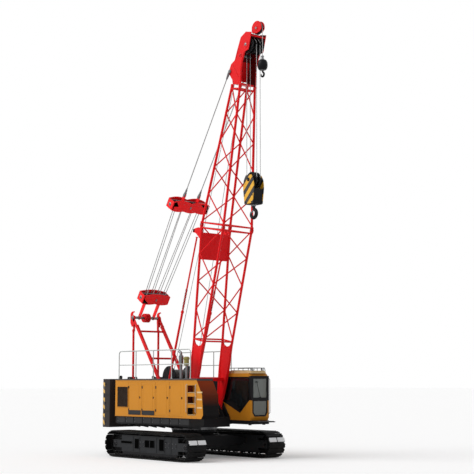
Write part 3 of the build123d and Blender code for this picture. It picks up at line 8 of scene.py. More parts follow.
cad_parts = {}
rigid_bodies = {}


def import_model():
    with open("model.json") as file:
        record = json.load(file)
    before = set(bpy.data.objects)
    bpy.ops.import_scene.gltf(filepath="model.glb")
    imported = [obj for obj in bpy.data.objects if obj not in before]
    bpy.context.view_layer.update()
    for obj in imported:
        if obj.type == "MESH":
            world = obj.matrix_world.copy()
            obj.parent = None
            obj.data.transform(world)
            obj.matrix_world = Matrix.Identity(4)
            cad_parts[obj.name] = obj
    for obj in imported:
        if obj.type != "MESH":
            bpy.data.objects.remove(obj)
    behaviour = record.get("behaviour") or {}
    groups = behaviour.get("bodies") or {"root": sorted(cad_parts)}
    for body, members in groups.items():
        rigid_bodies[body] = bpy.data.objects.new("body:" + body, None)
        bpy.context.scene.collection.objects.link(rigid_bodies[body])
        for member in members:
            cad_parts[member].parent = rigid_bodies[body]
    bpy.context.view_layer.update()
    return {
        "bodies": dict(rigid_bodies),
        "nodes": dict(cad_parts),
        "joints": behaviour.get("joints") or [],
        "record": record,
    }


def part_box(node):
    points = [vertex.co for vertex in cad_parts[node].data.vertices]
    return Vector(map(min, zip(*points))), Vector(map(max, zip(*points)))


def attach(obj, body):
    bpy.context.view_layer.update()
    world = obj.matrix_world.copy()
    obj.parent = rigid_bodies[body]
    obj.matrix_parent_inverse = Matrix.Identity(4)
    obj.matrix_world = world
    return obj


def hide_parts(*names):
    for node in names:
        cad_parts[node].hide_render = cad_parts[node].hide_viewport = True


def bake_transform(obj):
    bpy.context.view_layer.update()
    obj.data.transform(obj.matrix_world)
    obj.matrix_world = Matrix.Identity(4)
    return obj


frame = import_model()
NODES = frame["nodes"]


# --- colours and materials ---------------------------------------------------------------
def srgb(red, green, blue):
    """Display colour, 0 to 255, as the linear colour that a shader takes."""
    def linear(value):
        value = value / 255
        return value / 12.92 if value <= 0.04045 else ((value + 0.055) / 1.055) ** 2.4
    return (linear(red), linear(green), linear(blue), 1.0)


def shaded(colour, factor):
    """The colour made lighter or darker by a factor."""
    return tuple(min(1.0, channel * factor) for channel in colour[:3]) + (1.0,)


class Graph:
    """Short way to add and link the nodes of one material."""

    def __init__(self, name):
        self.material = bpy.data.materials.new(name)
        self.material.use_nodes = True
        self.tree = self.material.node_tree
        self.shader = self.tree.nodes["Principled BSDF"]
        self.coords = self.add("TexCoord").outputs["Object"]

    def add(self, kind, **values):
        node = self.tree.nodes.new("ShaderNode" + kind)
        for key, value in values.items():
            if hasattr(node, key):
                setattr(node, key, value)
            else:
                node.inputs[key.replace("_", " ")].default_value = value
        return node

    def link(self, source, target):
        self.tree.links.new(source, target)

    def noise(self, scale, detail=4.0, vector=None, roughness=0.55):
        node = self.add("TexNoise", Scale=scale, Detail=detail, Roughness=roughness)
        self.link(vector or self.coords, node.inputs["Vector"])
        return node.outputs["Fac"]

    def ramp(self, source, low, high, out_low=0.0, out_high=1.0):
        node = self.add("MapRange")
        for key, value in (("From Min", low), ("From Max", high), ("To Min", out_low), ("To Max", out_high)):
            node.inputs[key].default_value = value
        self.link(source, node.inputs["Value"])
        return node.outputs["Result"]

    def math(self, operation, first, second):
        node = self.add("Math", operation=operation)
        for place, value in enumerate((first, second)):
            if isinstance(value, (int, float)):
                node.inputs[place].default_value = value
            else:
                self.link(value, node.inputs[place])
        return node.outputs["Value"]

    def mix(self, factor, first, second):
        node = self.add("Mix", data_type="RGBA")
        for place, value in ((0, factor), (6, first), (7, second)):
            if isinstance(value, (int, float, tuple)):
                node.inputs[place].default_value = value
            else:
                self.link(value, node.inputs[place])
        return node.outputs[2]

    def worn_edges(self, radius):
        """1 on convex and concave edges, 0 on flat faces."""
        bevel = self.add("Bevel", samples=4, Radius=radius)
        true = self.add("NewGeometry").outputs["Normal"]
        dot = self.add("VectorMath", operation="DOT_PRODUCT")
        self.link(bevel.outputs["Normal"], dot.inputs[0])
        self.link(true, dot.inputs[1])
        return self.ramp(dot.outputs["Value"], 0.99, 0.8)

    def bump(self, height, distance, strength=0.4):
        node = self.add("Bump", Strength=strength, Distance=distance)
        self.link(height, node.inputs["Height"])
        self.link(node.outputs["Normal"], self.shader.inputs["Normal"])


# Dark brown that finishes blend towards: painted shade in hollows and near the floor, and dust in noise patches.
SHADE_AND_DUST_COLOUR = (0.13, 0.12, 0.108, 1.0)
SHADE_REACH, WEAR_WIDTH = 0.12, 0.008
GRAIN_DEPTH, MOULDED_DEPTH = 0.0006, 0.002


def finish_paint(name, colour, roughness=0.35, metallic=0.0, mottle=0.06, shade_and_dust=0.2, wear=0.25,
                 wear_colour=(0.09, 0.085, 0.08, 1.0), grain=180.0, coat=0.0, shine=0.08, fade=None):
    """Sprayed or bare metal: uneven tone, painted shade in corners, hollows and near the floor mixed with patches of
    dust, worn edges, fine grain.

    fade is (colour, low, high): another colour below one height, blending into the first above the other; it is used to
    paint shade down a face.
    """
    graph = Graph(name)
    shader = graph.shader
    tone = graph.mix(graph.noise(1.7), shaded(colour, 1 - mottle), shaded(colour, 1 + mottle))
    if fade:
        split = graph.add("SeparateXYZ")
        graph.link(graph.coords, split.inputs[0])
        tone = graph.mix(graph.ramp(split.outputs["Z"], fade[1], fade[2]), fade[0], tone)
    # Ambient occlusion darkens corners, hollows and parts near the floor towards the dark brown: painted shade, mixed
    # with dust in noise patches.
    occluded = graph.add("AmbientOcclusion", samples=4, Distance=SHADE_REACH)
    shaded_hollows = graph.ramp(occluded.outputs["AO"], 1.0, 0.35)
    patches = graph.ramp(graph.noise(5.0, 6.0), 0.4, 0.75)
    shade_and_dust_mask = graph.math("MULTIPLY", graph.math("MULTIPLY", shaded_hollows, patches), shade_and_dust)
    tone = graph.mix(shade_and_dust_mask, tone, SHADE_AND_DUST_COLOUR)
    if wear:
        chips = graph.ramp(graph.noise(35.0, 3.0), 0.5, 0.62)
        edge = graph.math("MULTIPLY", graph.math("MULTIPLY", graph.worn_edges(WEAR_WIDTH), chips), wear)
        tone = graph.mix(edge, tone, wear_colour)
    graph.link(tone, shader.inputs["Base Color"])
    uneven = graph.ramp(graph.noise(9.0), 0.3, 0.7, roughness - 0.07, roughness + 0.1)
    graph.link(uneven, shader.inputs["Roughness"])
    shader.inputs["Metallic"].default_value = metallic
    shader.inputs["Specular IOR Level"].default_value = shine
    shader.inputs["Coat Weight"].default_value = coat
    shader.inputs["Coat Roughness"].default_value = 0.12
    graph.bump(graph.noise(grain, 2.0), GRAIN_DEPTH, 0.25)
    return graph.material


def glass_material(name, colour, see_through):
    """Tinted pane with a faint film of dust."""
    graph = Graph(name)
    shader = graph.shader
    film = graph.ramp(graph.noise(6.0, 5.0), 0.35, 0.8, 0.03, 0.12)
    graph.link(film, shader.inputs["Roughness"])
    graph.link(graph.mix(graph.noise(2.0), shaded(colour, 0.85), shaded(colour, 1.15)), shader.inputs["Base Color"])
    shader.inputs["Transmission Weight"].default_value = see_through
    shader.inputs["IOR"].default_value = 1.45
    return graph.material


def fabric_material(name, colour):
    """Woven seat cloth: crossed threads in colour and bump, with sheen."""
    graph = Graph(name)
    threads = []
    for axis in ("X", "Z"):
        wave = graph.add("TexWave", Scale=90.0, Distortion=0.6, bands_direction=axis)
        graph.link(graph.coords, wave.inputs["Vector"])
        threads.append(wave.outputs["Fac"])
    weave = graph.math("MULTIPLY", threads[0], threads[1])
    worn = graph.mix(graph.noise(4.0), shaded(colour, 0.8), shaded(colour, 1.3))
    graph.link(graph.mix(weave, worn, shaded(colour, 1.7)), graph.shader.inputs["Base Color"])
    graph.shader.inputs["Roughness"].default_value = 0.9
    graph.shader.inputs["Sheen Weight"].default_value = 0.3
    graph.bump(weave, 0.0008, 0.6)
    return graph.material


def rope_material(name, colour, lay):
    """Wire rope: strands that wind round it, read from the tube's own length and girth."""
    graph = Graph(name)
    uv = graph.add("TexCoord").outputs["UV"]
    split = graph.add("SeparateXYZ")
    graph.link(uv, split.inputs[0])
    turn = graph.math("ADD", graph.math("MULTIPLY", split.outputs["X"], lay), split.outputs["Y"])
    strand = graph.math("SINE", graph.math("MULTIPLY", turn, 2 * math.pi * 6), 0.0)
    height = graph.ramp(strand, -1.0, 1.0)
    grease = graph.mix(graph.noise(12.0), shaded(colour, 0.75), shaded(colour, 1.2))
    graph.link(graph.mix(height, shaded(colour, 0.35), grease), graph.shader.inputs["Base Color"])
    graph.shader.inputs["Metallic"].default_value = 0.6
    graph.shader.inputs["Roughness"].default_value = 0.45
    graph.bump(height, MOULDED_DEPTH, 0.5)
    return graph.material


def striped_material(name, first, second, direction, width):
    """Diagonal hazard stripes of two paints."""
    graph = Graph(name)
    dot = graph.add("VectorMath", operation="DOT_PRODUCT")
    graph.link(graph.coords, dot.inputs[0])
    dot.inputs[1].default_value = direction
    phase = graph.math("FRACT", graph.math("DIVIDE", dot.outputs["Value"], width), 0.0)
    sharp = graph.ramp(phase, 0.49, 0.51)
    tone = graph.mix(sharp, first, second)
    patches = graph.ramp(graph.noise(8.0, 6.0), 0.55, 0.8, 0.0, 0.5)
    graph.link(graph.mix(patches, tone, (0.12, 0.1, 0.08, 1.0)), graph.shader.inputs["Base Color"])
    graph.shader.inputs["Roughness"].default_value = 0.4
    graph.bump(graph.noise(120.0, 2.0), GRAIN_DEPTH, 0.25)
    return graph.material


def plate_material(name, colour):
    """Anti-slip walking plate: raised studs in rows over dull paint."""
    graph = Graph(name)
    studs = graph.add("TexVoronoi", Scale=26.0, Randomness=0.0)
    graph.link(graph.coords, studs.inputs["Vector"])
    raised = graph.ramp(studs.outputs["Distance"], 0.35, 0.2)
    worn = graph.mix(graph.noise(3.0, 6.0), shaded(colour, 0.8), shaded(colour, 1.35))
    graph.link(graph.mix(raised, worn, shaded(colour, 1.8)), graph.shader.inputs["Base Color"])
    graph.shader.inputs["Roughness"].default_value = 0.7
    graph.bump(raised, MOULDED_DEPTH, 0.5)
    return graph.material


def lamp_material(name, colour, ribs):
    """Lamp lens with moulded ribs."""
    graph = Graph(name)
    wave = graph.add("TexWave", Scale=ribs, bands_direction="Z")
    graph.link(graph.coords, wave.inputs["Vector"])
    tone = graph.mix(wave.outputs["Fac"], shaded(colour, 0.7), shaded(colour, 1.2))
    graph.link(tone, graph.shader.inputs["Base Color"])
    graph.shader.inputs["Roughness"].default_value = 0.12
    graph.bump(wave.outputs["Fac"], MOULDED_DEPTH, 0.5)
    return graph.material


RED = finish_paint("boom_red", srgb(222, 18, 24), 0.36, wear_colour=(0.25, 0.2, 0.18, 1.0), shine=0.14)
ORANGE = finish_paint("house_orange", srgb(196, 129, 35), 0.38, shade_and_dust=0.25, shine=0.14)
# Lighter copy of the boom red, with less dust, for the spreader frames: painted light.
LIT_SPREADER_RED = finish_paint("spreader_red_painted_light", srgb(246, 32, 36), 0.36, shade_and_dust=0.05, shine=0.14)
# Cream on the cab roof cap and the step treads: a painted highlight on top-lit surfaces.
HIGHLIGHT_CREAM = finish_paint("cream_painted_highlight", srgb(212, 184, 138), 0.4)
BROWN = finish_paint("slat_brown", srgb(44, 29, 17), 0.5)
# Brown fading to near-black lower down, on the front face of the right-hand house: painted shade.
FRONT_PAINTED_SHADE = finish_paint("front_painted_shade", srgb(134, 50, 14), 0.5, wear=0.0, fade=(srgb(14, 11, 11), 1.85, 2.7))
# Dark copy of the boom red for the inner faces of the head plates and the back sheet: painted shade.
SHADED_RED = finish_paint("red_painted_shade", srgb(96, 12, 14), 0.5)
# Near-white on the pads of one front track shoe and on the inner roller caps: a painted highlight for glints.
GLINT_WHITE = finish_paint("painted_glint_white", srgb(235, 236, 238), 0.3, 0.0, 0.1, 0.3, 0.0, grain=60.0)
BRASSY = finish_paint("cleaner_olive", srgb(150, 140, 84), 0.45)
BODY_GREY = finish_paint("body_grey", srgb(52, 52, 53), 0.5, shade_and_dust=0.1)
WEIGHT_GREY = finish_paint("weight_grey", srgb(54, 50, 50), 0.6, mottle=0.1, shade_and_dust=0.15, grain=60.0)
FRAME_BLACK = finish_paint("frame_black", srgb(30, 30, 32), 0.5)
TRACK_BLACK = finish_paint("track_black", srgb(22, 22, 23), 0.42, 0.3, 0.2, 0.3, 0.35, (0.2, 0.2, 0.2, 1.0), 40.0)
FRAME_GREY = finish_paint("track_frame_grey", srgb(42, 43, 45), 0.5, shade_and_dust=0.15)
STEEL = finish_paint("worn_steel", srgb(120, 120, 122), 0.35, 0.85, 0.15, 0.5, 0.6, (0.6, 0.6, 0.6, 1.0), 90.0)
DARK_STEEL = finish_paint("dark_steel", srgb(30, 30, 32), 0.4, 0.6, 0.15, 0.5, 0.7, (0.3, 0.3, 0.3, 1.0), 90.0)
RAIL = finish_paint("galvanised_rail", srgb(176, 180, 178), 0.4, 0.5, 0.12, 0.3, 0.0, grain=120.0)
# Near-black for the flat plates, slide rails and yokes of the track frames: painted shade in place of recesses and
# gaps.
SHADE_BLACK = finish_paint("track_frame_painted_shade", srgb(7, 7, 7), 0.9, wear=0.0, shade_and_dust=0.05, shine=0.0)
RUBBER = finish_paint("rubber_seal", srgb(20, 20, 21), 0.75, wear=0.0, shade_and_dust=0.3, grain=300.0)
PLASTIC = finish_paint("moulded_plastic", srgb(38, 39, 41), 0.6, wear=0.0, shade_and_dust=0.2, grain=400.0)
SEAT = fabric_material("seat_cloth", srgb(52, 54, 60))
GLASS = glass_material("cab_pane", srgb(96, 104, 108), 0.92)
# Paler, less clear copy of the cab glass for the front panes: a painted reflection.
REFLECTING_FRONT_GLASS = glass_material("front_pane_painted_reflection", srgb(150, 154, 148), 0.55)
ROPE = rope_material("wire_rope", srgb(190, 192, 192), 14.0)
GREASED = rope_material("greased_rope", srgb(66, 64, 62), 14.0)
STRANDED = (ROPE, GREASED)
PLATE = plate_material("walk_plate", srgb(44, 45, 47))
LENS = lamp_material("clear_lens", srgb(225, 228, 230), 60.0)
DISPLAY = lamp_material("display_glass", srgb(40, 52, 60), 25.0)
HAZARD = striped_material("hazard_stripes", srgb(226, 168, 30), srgb(24, 24, 24), (0.707, 0.0, -0.707), 0.3)
PALE_HAZARD = striped_material("tail_hazard", srgb(206, 162, 76), srgb(66, 58, 50), (0.5, 0.5, 0.7), 0.2)

NODE_MATERIALS = {
    "track_frame": FRAME_GREY, "track_left": TRACK_BLACK, "track_right": TRACK_BLACK,
    "idlers": DARK_STEEL, "sprockets": DARK_STEEL, "rollers": DARK_STEEL,
    "carbody": FRAME_BLACK, "slew_ring": STEEL, "slew_frame": FRAME_BLACK, "foot_pins": STEEL,
    "winch_drums": DARK_STEEL, "side_decks": BODY_GREY, "counterweight": WEIGHT_GREY,
    "house": ORANGE, "right_door": ORANGE, "left_door": ORANGE, "roof_plates": PLATE,
    "engine_block": DARK_STEEL, "handrails": RAIL, "cab_shell": ORANGE, "cab_glass": GLASS,
    "cab_door_glass": GLASS, "cab_door": ORANGE, "cab_deck": FRAME_BLACK, "cab_seat": SEAT,
    "cab_console": PLASTIC, "gantry": RED, "backstops": RED, "boom": RED, "head_sheaves": DARK_STEEL,
    "tip_extension": RED, "lower_spreader": LIT_SPREADER_RED, "upper_spreader": LIT_SPREADER_RED, "luffing_falls": ROPE,
    "pendants": ROPE, "main_falls": ROPE, "aux_fall": ROPE, "hook_block": HAZARD,
    "main_hook": DARK_STEEL, "aux_ball": DARK_STEEL,
}


# Nodes with a second finish on the faces that look one way: finish, axis, direction, least Y. The black inner wall of
# the left-hand house, the brown-to-black front of the right-hand house and the dark red inside the boom head are
# painted shade; the paler front pane of the cab is a painted reflection.
SECOND_MATERIALS = {
    "cab_glass": (REFLECTING_FRONT_GLASS, 0, 1, -9.0), "house_left": (FRAME_BLACK, 1, -1, -9.0),
    "house_right": (FRONT_PAINTED_SHADE, 0, 1, -9.0), "boom_head": (SHADED_RED, 1, -1, 0.0),
}


NODE_EASE = 0.005
LOOKS_ONE_WAY = 0.75
SHARP_CORNER = math.radians(40)


def ease_edges(obj, width):
    """Rounds off the sharp edges of an object."""
    bevel = obj.modifiers.new("eased", "BEVEL")
    bevel.width = width
    bevel.segments = 2
    bevel.limit_method = "ANGLE"
    bevel.angle_limit = SHARP_CORNER


def dress_nodes():
    """Gives every CAD node its finish, and eases its edges."""
    for name, node in NODES.items():
        key = max((start for start in NODE_MATERIALS if name.startswith(start)), key=len)
        node.data.materials.clear()
        node.data.materials.append(NODE_MATERIALS[key])
        if name in SECOND_MATERIALS:
            second, axis, sign, least = SECOND_MATERIALS[name]
            node.data.materials.append(second)
            for face in node.data.polygons:
                if face.normal[axis] * sign > LOOKS_ONE_WAY and face.center.y > least:
                    face.material_index = 1
        weld = node.modifiers.new("weld", "WELD")
        weld.merge_threshold = 0.0001
        ease_edges(node, NODE_EASE)


# --- stage: floor, light and camera --------------------------------------------------------
FLOOR_REACH, FLOOR_GLOW = 400.0, 0.16
ROUND_LIGHT, BACKDROP_LIGHT = 0.45, 1.0


def add_stage():
    """Pale floor that fades into white, soft light from all round, and white behind for the camera."""
    mesh = bpy.data.meshes.new("floor")
    corners = [(x * FLOOR_REACH, y * FLOOR_REACH, 0) for x, y in ((-1, -1), (1, -1), (1, 1), (-1, 1))]
    mesh.from_pydata(corners, [], [(0, 1, 2, 3)])
    floor = bpy.data.objects.new("floor", mesh)
    bpy.context.scene.collection.objects.link(floor)
    graph = Graph("studio_floor")
    graph.shader.inputs["Base Color"].default_value = (0.9, 0.9, 0.9, 1.0)
    graph.shader.inputs["Roughness"].default_value = 0.9
    graph.shader.inputs["Emission Color"].default_value = (1.0, 1.0, 1.0, 1.0)
    seen = graph.add("LightPath").outputs["Is Camera Ray"]
    graph.link(graph.math("MULTIPLY", seen, FLOOR_GLOW), graph.shader.inputs["Emission Strength"])
    mesh.materials.append(graph.material)
    world = bpy.data.worlds.new("studio")
    bpy.context.scene.world = world
    world.use_nodes = True
    tree = world.node_tree
    plain = tree.nodes["Background"]
    plain.inputs["Color"].default_value = (1.0, 1.0, 1.0, 1.0)
    plain.inputs["Strength"].default_value = ROUND_LIGHT
    white = tree.nodes.new("ShaderNodeBackground")
    white.inputs["Color"].default_value = (1.0, 1.0, 1.0, 1.0)
    white.inputs["Strength"].default_value = BACKDROP_LIGHT
    path = tree.nodes.new("ShaderNodeLightPath")
    mix = tree.nodes.new("ShaderNodeMixShader")
    seen = path.outputs["Is Camera Ray"]
    for ray in ("Is Glossy Ray", "Is Transmission Ray"):
        either = tree.nodes.new("ShaderNodeMath")
        either.operation = "MAXIMUM"
        tree.links.new(seen, either.inputs[0])
        tree.links.new(path.outputs[ray], either.inputs[1])
        seen = either.outputs[0]
    tree.links.new(seen, mix.inputs[0])
    tree.links.new(plain.outputs[0], mix.inputs[1])
    tree.links.new(white.outputs[0], mix.inputs[2])
    tree.links.new(mix.outputs[0], tree.nodes["World Output"].inputs["Surface"])


def add_lamp(name, place, aim, size, strength):
    """Soft sun from one direction."""
    data = bpy.data.lights.new(name, "SUN")
    data.energy = strength
    data.angle = size
    lamp = bpy.data.objects.new(name, data)
    lamp.location = place
    lamp.rotation_euler = (Vector(aim) - Vector(place)).to_track_quat("-Z", "Y").to_euler()
    bpy.context.scene.collection.objects.link(lamp)


KEY_PLACE, KEY_AIM = (-7.0, -16.0, 16.0), (0.0, 0.0, 3.0)
KEY_SOFTNESS, KEY_STRENGTH = 0.8, 2.1
CAMERA_PLACE = (34.645, -26.340, 2.670)
CAMERA_AIM = (1.224, 1.005, 7.919)
CAMERA_LENS, CAMERA_SENSOR, CAMERA_REACH = 90.7, 36.0, 2000.0


def add_camera():
    data = bpy.data.cameras.new("camera")
    data.lens = CAMERA_LENS
    data.sensor_width = CAMERA_SENSOR
    data.clip_end = CAMERA_REACH
    camera = bpy.data.objects.new("camera", data)
    camera.location = CAMERA_PLACE
    camera.rotation_euler = (Vector(CAMERA_AIM) - Vector(CAMERA_PLACE)).to_track_quat("-Z", "Y").to_euler()
    bpy.context.scene.collection.objects.link(camera)
    bpy.context.scene.camera = camera


# --- mesh building: every form is written in metres in the crane's own frame -----------------
def raised(outline, axis, level):
    """The points of an outline in the plane across an axis, at a level on that axis."""
    spot = "xyz".index(axis)
    return [[*pair[:spot], level, *pair[spot:]] for pair in outline]


def mirrored(profile):
    """A lathe profile, followed by its own mirror image."""
    return profile + [(radius, -along) for radius, along in reversed(profile)]


def skin(rows, count):
    """Faces between rings of points that follow one another, and a cap on the first and the last."""
    faces = [(row * count + i, row * count + (i + 1) % count, (row + 1) * count + (i + 1) % count,
              (row + 1) * count + i)
             for row in range(rows - 1) for i in range(count)]
    return faces + [tuple(range(count)), tuple((rows - 1) * count + i for i in range(count))]


def layer(side, near, far, face=0.0):
    """Low and high level of a layer between two distances outwards of a face, on one side."""
    return sorted((face + side * near, face + side * far))


def hand(side):
    return "left" if side > 0 else "right"


class Form:
    """Points and faces of one piece. A place matrix turns local coordinates into the crane's."""

    def __init__(self, place=None):
        self.place = place or Matrix.Identity(4)
        self.points = []
        self.faces = []
        self.rope = {}

    def add(self, points, faces):
        start = len(self.points)
        self.points += [self.place @ Vector(point) for point in points]
        self.faces += [tuple(start + index for index in face) for face in faces]

    def prism(self, outline, axis, low, high):
        """Outline in the plane across an axis, extruded from low to high."""
        count = len(outline)
        points = raised(outline, axis, low) + raised(outline, axis, high)
        faces = [tuple(range(count))[::-1], tuple(range(count, 2 * count))]
        faces += [(i, (i + 1) % count, count + (i + 1) % count, count + i) for i in range(count)]
        self.add(points, faces)

    def box(self, x, y, z):
        self.prism([(x[0], y[0]), (x[1], y[0]), (x[1], y[1]), (x[0], y[1])], "z", z[0], z[1])

    def lathe(self, profile, centre, axis, steps=32, turn=0.0):
        """Profile of (radius, distance along the axis) turned round an axis through the centre."""
        base = Vector(centre)
        way = Vector(axis).normalized()
        side = way.orthogonal().normalized()
        other = way.cross(side)
        points, rings, faces = [], [], []
        for radius, along in profile:
            if radius <= 0:
                rings.append([len(points)] * steps)
                points.append(base + way * along)
                continue
            rings.append(list(range(len(points), len(points) + steps)))
            for step in range(steps):
                angle = 2 * math.pi * step / steps + turn
                points.append(base + way * along + (side * math.cos(angle) + other * math.sin(angle)) * radius)
        for first, second in zip(rings, rings[1:]):
            for step in range(steps):
                after = (step + 1) % steps
                face = [first[step], first[after], second[after], second[step]]
                faces.append(tuple(dict.fromkeys(face)))
        self.add(points, [face for face in faces if len(face) > 2])

    def tube(self, start, end, radius, end_radius=None, steps=16):
        """Closed round bar or cone between two points."""
        way = Vector(end) - Vector(start)
        last = radius if end_radius is None else end_radius
        self.lathe([(0, 0), (radius, 0), (last, way.length), (0, way.length)], start, way, steps)

    def ring(self, outer, inner, centre, axis, depth, steps=32):
        """Flat washer with square edges."""
        half = depth / 2
        profile = [(inner, -half), (outer, -half), (outer, half), (inner, half), (inner, -half)]
        self.lathe(profile, centre, axis, steps)

    def sleeve(self, inner, outer, start, axis, length, steps):
        """Collar round a pin, from a start along an axis."""
        self.lathe([(inner, 0), (outer, 0), (outer, length), (inner, length)], start, axis, steps)

    def cross_bar(self, x, z, half, radius, steps=16):
        """Round bar along the Y axis, as far to one side of the middle as to the other."""
        self.tube((x, -half, z), (x, half, z), radius, steps=steps)

    def pipe(self, route, radius, steps=10, closed=False):
        """Round bar along a route, with its length and girth kept for a rope's strands."""
        route = [Vector(point) for point in route]
        count = len(route)
        points, faces, marks = [], [], []
        length = 0.0
        way = (route[1] - route[0]).normalized()
        side = way.orthogonal().normalized()
        for index, point in enumerate(route):
            before = route[index - 1] if index or closed else point
            after = route[(index + 1) % count] if index < count - 1 or closed else point
            way = (after - before).normalized()
            side = (side - way * side.dot(way)).normalized()
            other = way.cross(side)
            if index:
                length += (point - route[index - 1]).length
            for step in range(steps + 1):
                angle = 2 * math.pi * step / steps
                points.append(point + (side * math.cos(angle) + other * math.sin(angle)) * radius)
                marks.append((length, step / steps))
        row = steps + 1
        last = count if closed else count - 1
        for index in range(last):
            near, far = index * row, ((index + 1) % count) * row
            faces += [(near + s, near + s + 1, far + s + 1, far + s) for s in range(steps)]
        if not closed:
            faces.append(tuple(range(steps))[::-1])
            faces.append(tuple((count - 1) * row + s for s in range(steps)))
        start = len(self.points)
        self.rope.update({start + index: mark for index, mark in enumerate(marks)})
        self.add(points, faces)

    def bolt(self, place, axis, radius, height):
        """Hexagon head on a washer."""
        way = Vector(axis).normalized()
        self.lathe([(radius * 1.25, 0), (radius * 1.25, height * 0.2), (0, height * 0.2)], place, way, 12)
        self.lathe([(radius, height * 0.2), (radius, height * 0.9), (radius * 0.85, height), (0, height)],
                   place, way, 6)

    def bolt_ring(self, centre, circle, count, side, radius, height, start=0.0):
        """Bolts on a circle across the Y axis, with their heads outwards on one side."""
        for index in range(count):
            turn = 2 * math.pi * index / count + start
            spot = (centre[0] + circle * math.cos(turn), centre[1], centre[2] + circle * math.sin(turn))
            self.bolt(spot, (0, side, 0), radius, height)

    def sheave(self, centre, radius, width, axis=(0, 1, 0), ribs=6):
        """Rope sheave: grooved rim, thin web with ribs, and hub."""
        half = width / 2
        groove = [(radius - 0.2 * width * math.cos(a) - 0.16 * width, 0.36 * width * math.sin(a))
                  for a in (math.radians(d) for d in (-70, -35, 0, 35, 70))]
        rim = radius - width * 0.8
        hub = radius * 0.3
        profile = [(hub * 0.4, -half), (hub, -half), (hub, -half * 0.3), (rim, -half * 0.3), (rim, -half),
                   (radius, -half)] + groove + [(radius, half), (rim, half), (rim, half * 0.3), (hub, half * 0.3),
                                                (hub, half), (hub * 0.4, half), (hub * 0.4, -half)]
        self.lathe(profile, centre, axis, 48)
        way = Vector(axis).normalized()
        side = way.orthogonal().normalized()
        for index in range(ribs):
            spoke = Matrix.Rotation(2 * math.pi * index / ribs, 3, way) @ side
            for face in (-1, 1):
                off = Vector(centre) + way * face * half * 0.5
                self.tube(off + spoke * hub * 0.9, off + spoke * rim * 1.02, width * 0.12, steps=8)


def piece(name, form, material, body, replaced=(), ease=0.0, sharp=35):
    """Turns a form into an object that rides on a body, with eased edges where wanted."""
    mesh = bpy.data.meshes.new(name)
    mesh.from_pydata(form.points, [], form.faces)
    if form.rope and material in STRANDED:
        girth = mesh.uv_layers.new(name="girth")
        for loop in mesh.loops:
            girth.data[loop.index].uv = form.rope.get(loop.vertex_index, (0.0, 0.0))
    cleaner = bmesh.new()
    cleaner.from_mesh(mesh)
    if not form.rope:
        bmesh.ops.remove_doubles(cleaner, verts=cleaner.verts, dist=0.00002)
    bmesh.ops.recalc_face_normals(cleaner, faces=cleaner.faces)
    cleaner.to_mesh(mesh)
    cleaner.free()
    mesh.shade_smooth()
    mesh.set_sharp_from_angle(angle=math.radians(sharp))
    mesh.materials.append(material)
    obj = bpy.data.objects.new(name, mesh)
    bpy.context.scene.collection.objects.link(obj)
    if ease:
        ease_edges(obj, ease)
    if isinstance(body, tuple):
        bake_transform(obj)
    else:
        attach(obj, body)
    if replaced:
        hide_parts(*replaced)
    return obj


def middle(node):
    low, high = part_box(node)
    return (low + high) / 2


def arc(x, y, radius, low, high, steps):
    """Points of an arc, between two angles in degrees."""
    turns = [math.radians(low + (high - low) * step / steps) for step in range(steps + 1)]
    return [(x + radius * math.cos(turn), y + radius * math.sin(turn)) for turn in turns]


def rounded(x, y, radius, steps=3):
    """Rectangle with rounded corners, as an outline."""
    places = ((x[1] - radius, y[1] - radius, 0), (x[0] + radius, y[1] - radius, 90),
              (x[0] + radius, y[0] + radius, 180), (x[1] - radius, y[0] + radius, 270))
    return [point for cx, cy, start in places for point in arc(cx, cy, radius, start, start + 90, steps)]


def offset(outline, amount):
    """The outline with every side moved outwards by an amount."""
    area = sum(a[0] * b[1] - b[0] * a[1] for a, b in zip(outline, outline[1:] + outline[:1]))
    turn = 1 if area > 0 else -1
    moved = []
    count = len(outline)
    for index in range(count):
        before, here, after = (Vector(outline[(index + step) % count]) for step in (-1, 0, 1))
        first, second = (here - before).normalized(), (after - here).normalized()
        normal = Vector((first.y + second.y, -first.x - second.x)) * turn
        normal /= max(0.3, 1 + first.dot(second))
        moved.append(tuple(here + normal * amount))
    return moved


def surround(form, outline, axis, low, high, inside, outside):
    """Frame round an opening, from a distance inside its edge to a distance outside it."""
    count = len(outline)
    points = []
    for level in (low, high):
        for loop in (offset(outline, outside), offset(outline, -inside)):
            points += raised(loop, axis, level)
    faces = []
    for i in range(count):
        j = (i + 1) % count
        faces += [(i, j, count + j, count + i), (2 * count + i, 3 * count + i, 3 * count + j, 2 * count + j),
                  (i, 2 * count + i, 2 * count + j, j), (count + i, count + j, 3 * count + j, 3 * count + i)]
    form.add(points, faces)


def tilted(origin, angle):
    """Place whose first axis rises at an angle in the side view and whose third points back and up."""
    cos, sin = math.cos(angle), math.sin(angle)
    return Matrix(((cos, 0, -sin, origin[0]), (0, 1, 0, origin[1]), (sin, 0, cos, origin[2]), (0, 0, 0, 1)))


SIDES = (-1, 1)

# --- running gear ---------------------------------------------------------------------------
TRACK_LOW, TRACK_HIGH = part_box("track_left")
TRACK_Y = (TRACK_LOW.y + TRACK_HIGH.y) / 2
SHOE_HALF = (TRACK_HIGH.y - TRACK_LOW.y) / 2
WHEEL_Z = TRACK_HIGH.z / 2
WHEEL_X = TRACK_HIGH.x - WHEEL_Z
PIN_INSET = 0.09
SHOES = 60
CHAIN_HALF = 0.115
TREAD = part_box("idlers")[1].z - WHEEL_Z
ROLLERS, ROLLER_RADIUS = 8, 0.105
ROLLER_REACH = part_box("rollers")[1].x - ROLLER_RADIUS


